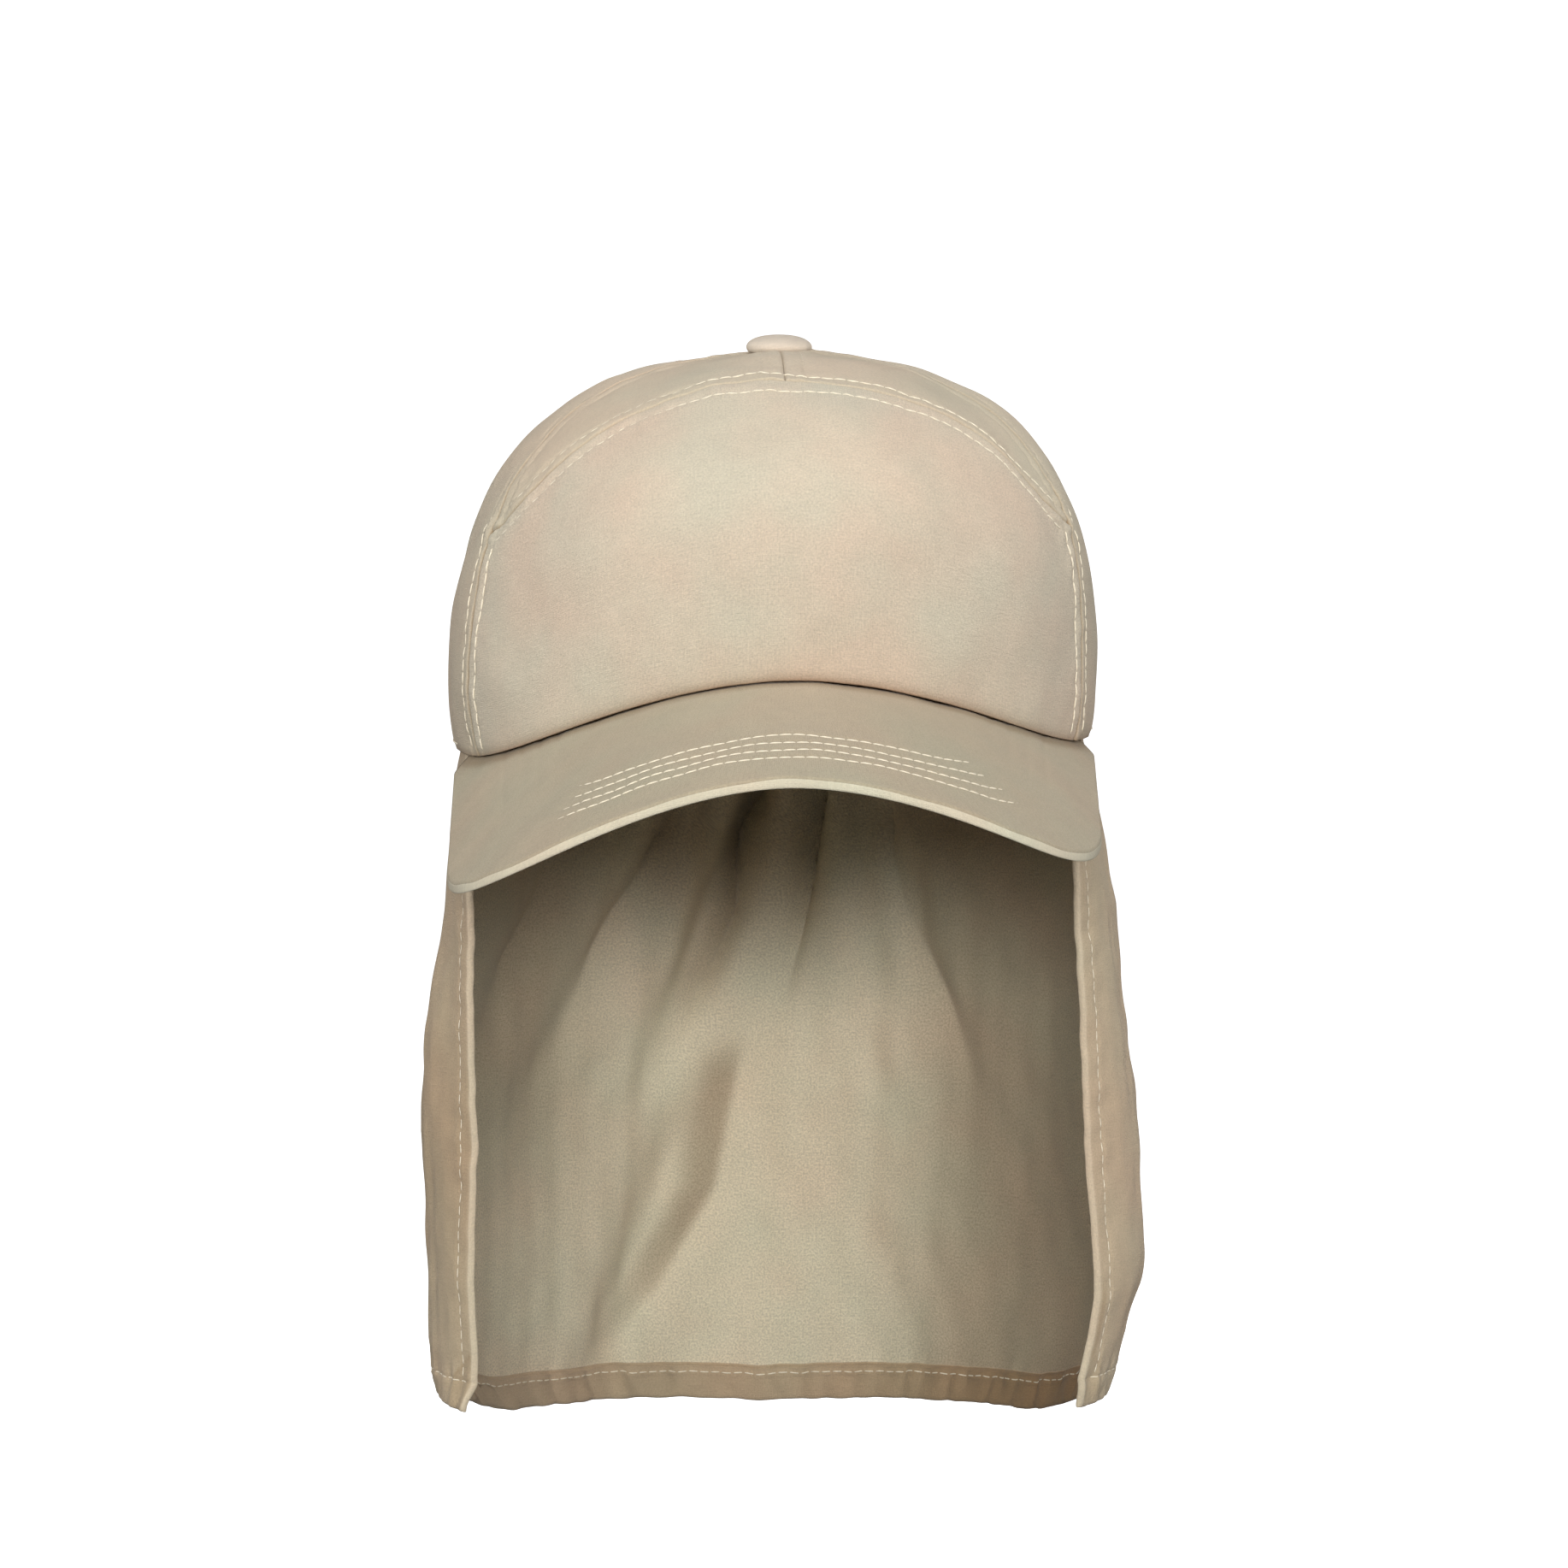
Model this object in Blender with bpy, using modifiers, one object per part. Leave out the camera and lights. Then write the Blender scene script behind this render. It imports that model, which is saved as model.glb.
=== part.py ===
"""Sun cap with a neck flap, as an assembly of sewn cloth pieces.

A seven-piece crown, a covered button, a curved peak and a gathered flap that hangs over the neck.
Units are metres, +Z is up and the peak points to -Y. The origin is the centre of the head
opening, level with the crown's rim at the sides. Azimuth runs from the front, 0, to +X, 90, and
the back, 180 degrees, so the wearer's left side has positive azimuths.
"""

import math
from collections import namedtuple

import bmesh
import bpy

# Crown: the outside of the cloth
CROWN_HALF_WIDTH = 0.0890
CROWN_FRONT_REACH = 0.1010
CROWN_BACK_REACH = 0.1030
CROWN_HEIGHT = 0.1080
CROWN_LEAN_DEG = 1.3
RIM_TUCK = 0.0020
TUCK_HEIGHT = 0.0215
CLOTH_WALL = 0.0012
SEAM_GAP = 0.0003

# How square the crown's upper outline is: 2 is an ellipse
ELLIPSE_POWER = 2.0
FRONT_SQUARENESS = 2.40
SIDE_SQUARENESS = 2.45
BACK_SQUARENESS = 2.20

# Seams between the crown's pieces
FRONT_SEAM_DEG = 67.5
BACK_SEAM_DEG = 123.0
ARC_SEAM_REACH_MIDDLE = 0.0550
ARC_SEAM_REACH_SIDE = 0.0816
ARC_SEAM_SQUARENESS = 4.00
SEAM_PIN_RADIUS = 0.0045

# Peak
PEAK_END_DEG = 75.0
PEAK_LENGTH = 0.0630
PEAK_HALF_WIDTH = 0.0855
PEAK_CORNER_REACH = 0.0900
PEAK_THICKNESS = 0.0030
PEAK_EDGE_ROUND = 0.0011
PEAK_PITCH_MIDDLE_DEG = 16.0
PEAK_PITCH_END_DEG = 14.0
PEAK_TWIST_DEG = 1.4
PEAK_TWIST_FADE = 0.0450
PEAK_SWING_DEG = 1.9
PEAK_SQUARENESS = 2.50
PEAK_ARCH_POWER = 1.90
PEAK_END_WIDTH = 0.0030
PEAK_TURN_IN = 0.0010
RIM_RISE = 0.0233

# Button
BUTTON_RADIUS = 0.0090
BUTTON_HEIGHT = 0.0050
BUTTON_EDGE = 0.0016
BUTTON_POST_RADIUS = 0.0028
BUTTON_FOOT_RADIUS = 0.0070
BUTTON_FOOT_THICKNESS = 0.0010

# Neck flap
FLAP_START_DEG = 79.0
FLAP_TUCK_UP = 0.0080
FLAP_CLEARANCE = 0.0004
FLAP_BACK_DROP = 0.2055
FLAP_QUARTER_FROM = 0.45
FLAP_QUARTER_DROP = 0.1985
FLAP_SIDE_FROM = 0.80
FLAP_SIDE_DROP = 0.1820
FLAP_HALF_WIDTH = 0.1000
FLAP_BACK_REACH = 0.1280
FLAP_WIDEST_BACK = 0.0100
FLAP_BACK_SQUARENESS = 1.65
FLAP_EDGE_HALF_GAP = 0.0850
FLAP_EDGE_FORWARD = 0.0200
FLAP_HEM_WALL = 0.0020
FLAP_BOTTOM_HEM = 0.0110
FLAP_SIDE_HEM = 0.0080
FLAP_FOLD_DEPTH = 0.0080
GATHER_DEPTH = 0.0028
GATHER_HALF_WIDTH = 0.0420
GATHER_PITCH = 0.0140
GATHER_FADE = 0.0450

# The flap's sections. Down is a share of its drop and flare says how far the section has swung
# from the rim's outline to the wide one. The others are shares of the half width and of the
# half gap between the front edges, on the -X and the +X side.
FlapRow = namedtuple("FlapRow", "down flare wide_minus wide_plus edge_minus edge_plus")
FLAP_ROWS = (
    FlapRow(0.00, 0.00, 0.930, 0.980, 0.980, 0.965),
    FlapRow(0.10, 0.70, 0.894, 0.933, 0.980, 0.965),
    FlapRow(0.25, 0.88, 0.908, 0.978, 0.980, 0.975),
    FlapRow(0.43, 0.92, 0.965, 1.012, 0.980, 1.000),
    FlapRow(0.59, 1.00, 0.978, 1.031, 0.970, 1.018),
    FlapRow(0.77, 1.00, 0.964, 1.045, 0.985, 1.050),
    FlapRow(0.83, 1.00, 0.959, 1.045, 0.980, 1.055),
    FlapRow(0.90, 1.00, 0.956, 1.026, 0.970, 1.034),
    FlapRow(0.96, 1.00, 0.964, 0.995, 0.975, 1.005),
    FlapRow(1.00, 1.00, 0.949, 0.976, 1.010, 1.000),
)

# Folds of the flap. Around is 0 at the middle of the back, 1 at the +X edge and -1 at the other.
# Depth is a share of the fold depth, outwards if positive, and width a share of the half flap.
FoldRow = namedtuple("FoldRow", "name around_top around_foot width_top width_foot depth starts ends")
FOLD_ROWS = (
    FoldRow("left of the middle", 0.04, -0.34, 0.030, 0.055, 0.90, 0.00, 0.58),
    FoldRow("right of the middle", 0.09, -0.03, 0.028, 0.040, 0.50, 0.00, 0.46),
    FoldRow("middle swell", 0.08, 0.03, 0.060, 0.110, -0.50, 0.20, 1.20),
    FoldRow("right crease", 0.16, 0.46, 0.028, 0.050, 0.35, 0.02, 0.60),
    FoldRow("right swell", 0.22, 0.25, 0.110, 0.120, -0.30, 0.15, 1.30),
    FoldRow("left slant", -0.07, -0.66, 0.035, 0.060, 0.45, 0.05, 0.60),
    FoldRow("left outer slant", -0.27, -0.83, 0.040, 0.070, 0.40, 0.08, 0.55),
    FoldRow("left swell", -0.22, -0.30, 0.110, 0.120, -0.30, 0.35, 1.30),
    FoldRow("low left furrow", 0.21, -0.30, 0.045, 0.055, 0.60, 0.42, 1.10),
    FoldRow("left quarter", -0.44, -0.44, 0.140, 0.140, 0.35, -0.20, 0.45),
    FoldRow("right quarter", 0.46, 0.46, 0.140, 0.140, 0.30, -0.20, 0.45),
    FoldRow("left side swell", -0.78, -0.80, 0.080, 0.090, 0.20, 0.30, 1.00),
    FoldRow("right side swell", 0.76, 0.82, 0.080, 0.100, 0.25, 0.40, 1.10),
)

# Soft dents of the crown. Azimuth and half angle are degrees, height and half height are shares
# of a piece's rise from rim to top, and depth is a share of the dent depth, inwards if positive.
DENT_DEPTH = 0.0016
DentRow = namedtuple("DentRow", "name azimuth height half_angle half_height depth")
DENT_ROWS = (
    DentRow("hollow beside the button", -50.0, 0.86, 26.0, 0.07, 1.0),
    DentRow("lower front, -X side", -42.0, 0.22, 13.0, 0.08, 0.6),
    DentRow("lower front, +X side", 48.0, 0.30, 12.0, 0.10, 0.5),
    DentRow("front swell", 0.0, 0.42, 26.0, 0.14, -0.5),
    DentRow("-X side", -92.0, 0.40, 14.0, 0.12, 0.8),
    DentRow("+X side", 96.0, 0.35, 16.0, 0.10, 0.6),
    DentRow("back, -X side", -150.0, 0.45, 16.0, 0.12, 0.9),
    DentRow("back, +X side", 152.0, 0.36, 14.0, 0.12, 0.8),
)

# Share of a crown meridian that is the steep wall below the widest height, and the plan scale
# above the top ring at which dents have their full depth
WALL_SHARE = 0.16
DENT_FULL_SCALE = 0.50

# Columns and rows of each piece's mesh
FRONT_GRID = (20, 9)
UPPER_FRONT_GRID = (10, 5)
SIDE_GRID = (9, 11)
FLAP_GRID = (52, 15)
FLAP_BACK_CROWDING = 1.25
PEAK_GRID = (30, 5)
BUTTON_STEPS = 16
BUTTON_ROWS = 5

CLOTH_COLOUR = (0.62, 0.53, 0.41, 1.0)
FRONT_COLOUR = (0.68, 0.60, 0.48, 1.0)
PEAK_COLOUR = (0.50, 0.43, 0.32, 1.0)
FLAP_COLOUR = (0.52, 0.44, 0.32, 1.0)


def smooth(value):
    """Eases a value from 0 to 1, with flat ends."""
    t = min(max(value, 0.0), 1.0)
    return t * t * (3.0 - 2.0 * t)


def mix(low, high, share):
    return low + (high - low) * share


def slope(degrees):
    return math.tan(math.radians(degrees))


def squareness(azimuth):
    """Exponent of the crown's upper outline, blended between front, side and back."""
    ahead = math.cos(azimuth)
    end = FRONT_SQUARENESS if ahead > 0 else BACK_SQUARENESS
    return mix(SIDE_SQUARENESS, end, ahead * ahead)


def crown_plan(azimuth, scale, inset=0.0):
    """Plan position on the crown's ellipse, scaled about its axis and moved in by an inset."""
    reach = CROWN_FRONT_REACH if math.cos(azimuth) > 0 else CROWN_BACK_REACH
    x = (CROWN_HALF_WIDTH * scale - inset) * math.sin(azimuth)
    y = -(reach * scale - inset) * math.cos(azimuth)
    return x, y


RIM_SCALE = 1.0 - RIM_TUCK / CROWN_HALF_WIDTH
PEAK_END = math.radians(PEAK_END_DEG)
PEAK_END_X, PEAK_END_Y = crown_plan(PEAK_END, RIM_SCALE)
PEAK_ARCH = RIM_RISE + slope(PEAK_PITCH_END_DEG) * (PEAK_END_Y + CROWN_FRONT_REACH)


def peak_top(x, y):
    """Height of the peak's upper face: a pitched sheet, arched from side to side.

    The pitch eases from the middle to the ends, and a small twist lowers the -X side of the seam
    and fades out ahead of it.
    """
    aside = abs(x / PEAK_END_X)
    pitch = mix(slope(PEAK_PITCH_MIDDLE_DEG), slope(PEAK_PITCH_END_DEG), aside**2)
    arch = PEAK_ARCH * aside**PEAK_ARCH_POWER
    twist = slope(PEAK_TWIST_DEG) * smooth((y + CROWN_FRONT_REACH) / PEAK_TWIST_FADE + 1.0)
    return RIM_RISE + pitch * (y + CROWN_FRONT_REACH) - arch + x * twist


def rim_height(azimuth):
    """Height of the crown's lower edge: it sits on the peak, then eases down to the side rim."""
    turned = math.atan2(math.sin(azimuth), math.cos(azimuth))
    held = math.copysign(min(abs(turned), PEAK_END), turned)
    on_peak = peak_top(*crown_plan(held, RIM_SCALE, CLOTH_WALL)) + SEAM_GAP
    past_end = (abs(turned) - PEAK_END) / (math.radians(BACK_SEAM_DEG) - PEAK_END)
    return on_peak * (1.0 - smooth(past_end))


def dent(azimuth, share):
    """Depth of the crown's soft dents at a place on it, inwards if positive."""
    total = 0.0
    for row in DENT_ROWS:
        off = azimuth - math.radians(row.azimuth)
        turn = math.atan2(math.sin(off), math.cos(off)) / math.radians(row.half_angle)
        rise = (share - row.height) / row.half_height
        total += row.depth * math.exp(-turn * turn - rise * rise)
    return DENT_DEPTH * total


def lean_at(height):
    """How far the crown leans to +X at a height above its widest level."""
    return slope(CROWN_LEAN_DEG) * max(height - TUCK_HEIGHT, 0.0)


def crown_point(azimuth, share):
    """Point on the crown's outside: share 0 is the rim and 1 the top.

    The steep wall below the widest height draws in by the tuck. Above it the outline is a
    superellipse in polar form.
    """
    rim = rim_height(azimuth)
    widest = rim + TUCK_HEIGHT
    if share < WALL_SHARE:
        up = share / WALL_SHARE
        scale = mix(RIM_SCALE, 1.0, 1.0 - (1.0 - up) ** 2)
        height = mix(rim, widest, up)
    else:
        angle = (share - WALL_SHARE) / (1.0 - WALL_SHARE) * math.pi / 2
        power = squareness(azimuth)
        along, up = max(math.cos(angle), 0.0), math.sin(angle)
        norm = (along**power + up**power) ** (1.0 / power)
        scale = along / norm
        height = mix(widest, CROWN_HEIGHT, up / norm)
    inset = dent(azimuth, share) * min(1.0, scale / DENT_FULL_SCALE)
    x, y = crown_plan(azimuth, scale, inset)
    height -= inset * (1.0 - scale)
    return x + lean_at(height), y, height


def share_at_scale(azimuth, scale):
    """The share of the meridian, above the widest height, where the plan has that scale."""
    power = squareness(azimuth)
    up = max(1.0 - scale**power, 0.0) ** (1.0 / power)
    return mix(WALL_SHARE, 1.0, math.atan2(up, scale) / (math.pi / 2))


def arc_share(azimuth):
    """Where the arched seam over the front panel crosses a meridian.

    In plan the seam is a superellipse about the crown's axis, nearly straight across the middle.
    """
    ahead = math.cos(azimuth) * CROWN_FRONT_REACH / ARC_SEAM_REACH_MIDDLE
    aside = abs(math.sin(azimuth)) * CROWN_HALF_WIDTH / ARC_SEAM_REACH_SIDE
    norm = (ahead**ARC_SEAM_SQUARENESS + aside**ARC_SEAM_SQUARENESS) ** (1.0 / ARC_SEAM_SQUARENESS)
    return share_at_scale(azimuth, min(1.0 / norm, 1.0))


def rim_share(azimuth):
    """The crown's lower pieces start at the rim."""
    return 0.0


def top_share(azimuth):
    """The crown's upper pieces end in a small ring round the button's post."""
    return share_at_scale(azimuth, SEAM_PIN_RADIUS / CROWN_HALF_WIDTH)


def panel_place(start_deg, end_deg, low, high):
    """Maps a unit square to a crown piece that ends one seam gap short of each seam."""
    start, end = math.radians(start_deg), math.radians(end_deg)
    gap_share = SEAM_GAP / (CROWN_HEIGHT + CROWN_HALF_WIDTH / 2)

    def place(across, up):
        azimuth = mix(start, end, across)
        low_share = low(azimuth) + (gap_share if low is arc_share else 0.0)
        high_share = high(azimuth) - (gap_share if high is arc_share else 0.0)
        share = mix(low_share, high_share, up)
        x, y, height = crown_point(azimuth, share)
        trim = SEAM_GAP / math.hypot(x - lean_at(height), y)
        return crown_point(mix(start + trim, end - trim, across), share)

    return place


def material(name, colour):
    made = bpy.data.materials.new(name)
    made.use_nodes = True
    shader = made.node_tree.nodes["Principled BSDF"]
    shader.inputs["Base Color"].default_value = colour
    shader.inputs["Roughness"].default_value = 0.9
    shader.inputs["Metallic"].default_value = 0.0
    return made


def grid_object(name, place, grid, collection, finish):
    """A grid whose unit square is carried onto the surface that place gives."""
    mesh = bpy.data.meshes.new(name)
    shape = bmesh.new()
    bmesh.ops.create_grid(shape, x_segments=grid[0], y_segments=grid[1], size=0.5)
    for vertex in shape.verts:
        vertex.co = place(vertex.co.x + 0.5, vertex.co.y + 0.5)
    shape.to_mesh(mesh)
    shape.free()
    mesh.shade_smooth()
    made = bpy.data.objects.new(name, mesh)
    made.data.materials.append(finish)
    collection.objects.link(made)
    return made


def solidify(made, thickness):
    """Gives an open surface its wall, inwards from the outside face."""
    wall = made.modifiers.new("wall", "SOLIDIFY")
    wall.thickness = thickness
    wall.offset = -1.0
    return wall


def make_crown(collection):
    """Seven pieces: the front, two above it, two at the sides and two at the back."""
    cloth = material("crown_cloth", CLOTH_COLOUR)
    front = material("front_cloth", FRONT_COLOUR)
    seam, back = FRONT_SEAM_DEG, BACK_SEAM_DEG
    pieces = (
        ("front_panel", -seam, seam, rim_share, arc_share, FRONT_GRID, front),
        ("upper_front_panel_left", 0.0, seam, arc_share, top_share, UPPER_FRONT_GRID, cloth),
        ("upper_front_panel_right", -seam, 0.0, arc_share, top_share, UPPER_FRONT_GRID, cloth),
        ("side_panel_left", seam, back, rim_share, top_share, SIDE_GRID, cloth),
        ("side_panel_right", -back, -seam, rim_share, top_share, SIDE_GRID, cloth),
        ("back_panel_left", back, 180.0, rim_share, top_share, SIDE_GRID, cloth),
        ("back_panel_right", -180.0, -back, rim_share, top_share, SIDE_GRID, cloth),
    )
    for name, start, end, low, high, grid, finish in pieces:
        made = grid_object(name, panel_place(start, end, low, high), grid, collection, finish)
        solidify(made, CLOTH_WALL)


def peak_outline(share):
    """Plan point of the peak's free edge, from the -X end, -1, over the front, 0, to the +X end.

    The front is a superellipse, a straight side runs back to each end of the seam, and the whole
    edge swings a little to -X.
    """
    side_length = PEAK_CORNER_REACH + PEAK_END_Y
    reach = CROWN_FRONT_REACH + PEAK_LENGTH - PEAK_CORNER_REACH
    quarter = math.pi / 4 * (PEAK_HALF_WIDTH + reach)
    turn_share = quarter / (quarter + side_length)
    part = abs(share)
    if part < turn_share:
        angle = part / turn_share * math.pi / 2
        across, ahead = math.sin(angle), max(math.cos(angle), 0.0)
        norm = (across**PEAK_SQUARENESS + ahead**PEAK_SQUARENESS) ** (1.0 / PEAK_SQUARENESS)
        x = PEAK_HALF_WIDTH * across / norm
        y = -PEAK_CORNER_REACH - reach * ahead / norm
    else:
        back = (part - turn_share) / (1.0 - turn_share)
        x = mix(PEAK_HALF_WIDTH, PEAK_END_X + PEAK_END_WIDTH, back)
        y = mix(-PEAK_CORNER_REACH, PEAK_END_Y, back)
    return math.copysign(x, share) + (y - PEAK_END_Y) * slope(PEAK_SWING_DEG), y


def peak_place(across, back):
    """Maps a unit square to the peak's upper face: across it, and from the free edge to the seam."""
    share = across * 2.0 - 1.0
    edge_x, edge_y = peak_outline(share)
    seam_x, seam_y = crown_plan(share * PEAK_END, RIM_SCALE, CLOTH_WALL + PEAK_TURN_IN)
    x, y = mix(edge_x, seam_x, back), mix(edge_y, seam_y, back)
    return x, y, peak_top(x, y)


def make_peak(collection):
    """The stiff curved peak, with its free edge rounded."""
    made = grid_object("peak", peak_place, PEAK_GRID, collection, material("peak_cloth", PEAK_COLOUR))
    solidify(made, PEAK_THICKNESS)
    edge = made.modifiers.new("rounded edge", "BEVEL")
    edge.width = PEAK_EDGE_ROUND
    edge.segments = 2
    edge.limit_method = "ANGLE"
    edge.angle_limit = math.radians(50)


def make_button(collection):
    """The covered button: a dome with a turned-in edge, a post through the seams and a foot."""
    seat = SEAM_GAP
    foot_top = -CLOTH_WALL - 2 * SEAM_GAP
    rise = BUTTON_HEIGHT - BUTTON_EDGE
    dome = [math.pi / 2 * (1.0 - row / BUTTON_ROWS) for row in range(1, BUTTON_ROWS + 1)]
    profile = [(0.0, seat + BUTTON_HEIGHT)]
    profile += [(BUTTON_RADIUS * math.cos(a), seat + BUTTON_EDGE + rise * math.sin(a)) for a in dome]
    profile += [
        (BUTTON_RADIUS - BUTTON_EDGE / 3, seat),
        (BUTTON_POST_RADIUS, seat),
        (BUTTON_POST_RADIUS, foot_top),
        (BUTTON_FOOT_RADIUS, foot_top),
        (BUTTON_FOOT_RADIUS, foot_top - BUTTON_FOOT_THICKNESS),
        (0.0, foot_top - BUTTON_FOOT_THICKNESS),
    ]
    mesh = bpy.data.meshes.new("button")
    shape = bmesh.new()
    points = [shape.verts.new((x, 0.0, z)) for x, z in profile]
    for first, second in zip(points, points[1:]):
        shape.edges.new((first, second))
    shape.to_mesh(mesh)
    shape.free()
    made = bpy.data.objects.new("button", mesh)
    made.location = (lean_at(CROWN_HEIGHT), 0.0, CROWN_HEIGHT)
    made.data.materials.append(material("button_cloth", CLOTH_COLOUR))
    collection.objects.link(made)
    turn = made.modifiers.new("turned", "SCREW")
    turn.steps = turn.render_steps = BUTTON_STEPS
    turn.use_merge_vertices = True
    turn.merge_threshold = 0.0001
    turn.use_smooth_shade = True


def flap_section(down):
    """The flap's section at a share of the way down, read between the rows of the table."""
    for low, high in zip(FLAP_ROWS, FLAP_ROWS[1:]):
        if down <= high.down:
            share = (down - low.down) / (high.down - low.down)
            return FlapRow(*(mix(first, second, share) for first, second in zip(low, high)))
    return FLAP_ROWS[-1]


def fold_depth(around, down):
    """How far the flap's folds carry it outwards at a place on it."""
    total = 0.0
    for row in FOLD_ROWS:
        centre = mix(row.around_top, row.around_foot, down)
        width = mix(row.width_top, row.width_foot, down)
        middle, reach = (row.starts + row.ends) / 2, (row.ends - row.starts) / 2
        inside = max(1.0 - ((down - middle) / reach) ** 2, 0.0)
        total += row.depth * inside * math.exp(-(((around - centre) / width) ** 2))
    return FLAP_FOLD_DEPTH * total


def gather_depth(around, drop):
    """The small even gathers where the flap is drawn in at the middle of the back."""
    along = around * math.pi / 2 * CROWN_BACK_REACH
    fade = math.exp(-((along / GATHER_HALF_WIDTH) ** 2)) * math.exp(-drop / GATHER_FADE)
    start = smooth(drop / GATHER_PITCH)
    return GATHER_DEPTH * fade * start * math.cos(2 * math.pi * along / GATHER_PITCH)


def wide_plan(around, section):
    """Plan point and outward normal of the flap's wide outline.

    It turns in at the front edges along an ellipse. Behind its widest place it is a superellipse
    that runs back more pointed than an ellipse.
    """
    part = abs(around)
    wide = FLAP_HALF_WIDTH * (section.wide_plus if around > 0 else section.wide_minus)
    gap = FLAP_EDGE_HALF_GAP * (section.edge_plus if around > 0 else section.edge_minus)
    edge_angle = math.asin(min(gap / wide, 1.0))
    ahead = (FLAP_WIDEST_BACK + FLAP_EDGE_FORWARD) / max(math.cos(edge_angle), SEAM_GAP)
    angle = mix(math.pi, edge_angle, part)
    on_front = math.cos(angle) > 0
    power = ELLIPSE_POWER if on_front else FLAP_BACK_SQUARENESS
    reach = -ahead if on_front else FLAP_BACK_REACH - FLAP_WIDEST_BACK
    across, along = math.sin(angle), abs(math.cos(angle))
    norm = (across**power + along**power) ** (1.0 / power)
    across, along = across / norm, along / norm
    normal_x, normal_y = across ** (power - 1.0) / wide, along ** (power - 1.0) / reach
    size = math.hypot(normal_x, normal_y)
    return wide * across, FLAP_WIDEST_BACK + reach * along, normal_x / size, normal_y / size


def edge_run():
    """Cloth per whole share round the flap, in metres, next to its front edges."""
    step = 0.5 / FLAP_GRID[0]
    edge_x, edge_y, *_ = wide_plan(1.0, FLAP_ROWS[-1])
    near_x, near_y, *_ = wide_plan(1.0 - step, FLAP_ROWS[-1])
    return math.hypot(edge_x - near_x, edge_y - near_y) / step


def foot_height(around):
    """Height of the flap's foot: lowest at the middle of the back, with a steeper rise at the sides."""
    part = abs(around)
    back_drop = mix(FLAP_BACK_DROP, FLAP_QUARTER_DROP, min(part / FLAP_QUARTER_FROM, 1.0))
    past = (part - FLAP_QUARTER_FROM) / (FLAP_SIDE_FROM - FLAP_QUARTER_FROM)
    return -mix(back_drop, FLAP_SIDE_DROP, smooth(past))


def flap_point(around, height_at):
    """Point on the flap's outside. Around is -1 to 1, as for the folds.

    The plan swings from the rim's ellipse to the wide outline on the way down.
    """
    rim_angle = mix(math.pi, math.radians(FLAP_START_DEG), abs(around))
    rim = rim_height(math.copysign(rim_angle, around))
    foot = foot_height(around)
    z = height_at(rim, foot)
    drop = max(rim - z, 0.0)
    down = drop / (rim - foot)
    section = flap_section(down)
    rim_x, rim_y = crown_plan(rim_angle, RIM_SCALE, CLOTH_WALL + FLAP_CLEARANCE)
    wide_x, wide_y, normal_x, normal_y = wide_plan(around, section)
    out = fold_depth(around, down) * smooth(drop / FLAP_TUCK_UP) + gather_depth(around, drop)
    x = mix(rim_x, wide_x, section.flare) + out * normal_x
    y = mix(rim_y, wide_y, section.flare) + out * normal_y
    return math.copysign(x, around), y, z


def make_flap(collection):
    """The neck flap: one cloth, thicker where its front edges and its foot are hemmed."""
    columns, rows = FLAP_GRID
    hem_share = FLAP_SIDE_HEM / edge_run()

    def around_at(column):
        """One column for each front hem, and finer columns towards the middle of the back."""
        part = 1.0 - 2.0 * column / columns
        inner = 1.0 - 2.0 / columns
        if abs(part) > inner:
            side = mix(1.0 - hem_share, 1.0, (abs(part) - inner) / (1.0 - inner))
        else:
            side = (abs(part) / inner) ** FLAP_BACK_CROWDING * (1.0 - hem_share)
        return math.copysign(side, part)

    def place(across, up):
        row = up * rows

        def height_at(rim, foot):
            """The hem's row, even rows up to the rim, and one row tucked up inside the crown."""
            if row <= 1.0:
                return foot + FLAP_BOTTOM_HEM * row
            if row >= rows - 1.0:
                return rim + FLAP_TUCK_UP * (row - rows + 1.0)
            return mix(foot + FLAP_BOTTOM_HEM, rim, (row - 1.0) / (rows - 2.0))

        return flap_point(around_at(across * columns), height_at)

    made = grid_object("neck_flap", place, FLAP_GRID, collection, material("flap_cloth", FLAP_COLOUR))
    hem = made.vertex_groups.new(name="hem")
    for vertex in made.data.vertices:
        column, row = vertex.index % (columns + 1), vertex.index // (columns + 1)
        if column <= 1 or column >= columns - 1 or row <= 1:
            hem.add([vertex.index], 1.0, "REPLACE")
    wall = solidify(made, FLAP_HEM_WALL)
    wall.vertex_group = hem.name
    wall.thickness_vertex_group = CLOTH_WALL / FLAP_HEM_WALL


def main():
    for old in list(bpy.data.objects):
        bpy.data.objects.remove(old, do_unlink=True)
    collection = bpy.data.collections.new("sun_cap")
    bpy.context.scene.collection.children.link(collection)
    make_crown(collection)
    make_peak(collection)
    make_button(collection)
    make_flap(collection)


if __name__ == "__main__":
    main()
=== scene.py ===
"""Dressed model of a sun cap: sewn crown, covered button, curved peak and gathered neck flap.

Metres, +Z up, the peak points to -Y and the origin is the centre of the head opening. Azimuth
runs from the front, 0, to +X, 90, and the back, 180 degrees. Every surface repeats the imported
part's own formulas and adds the seams, puckers, hems and stitches of the real cloth.
"""

import logging
import math
from dataclasses import dataclass, field, fields
from enum import Enum

import bpy
import numpy as np
from mathutils import Matrix


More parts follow.
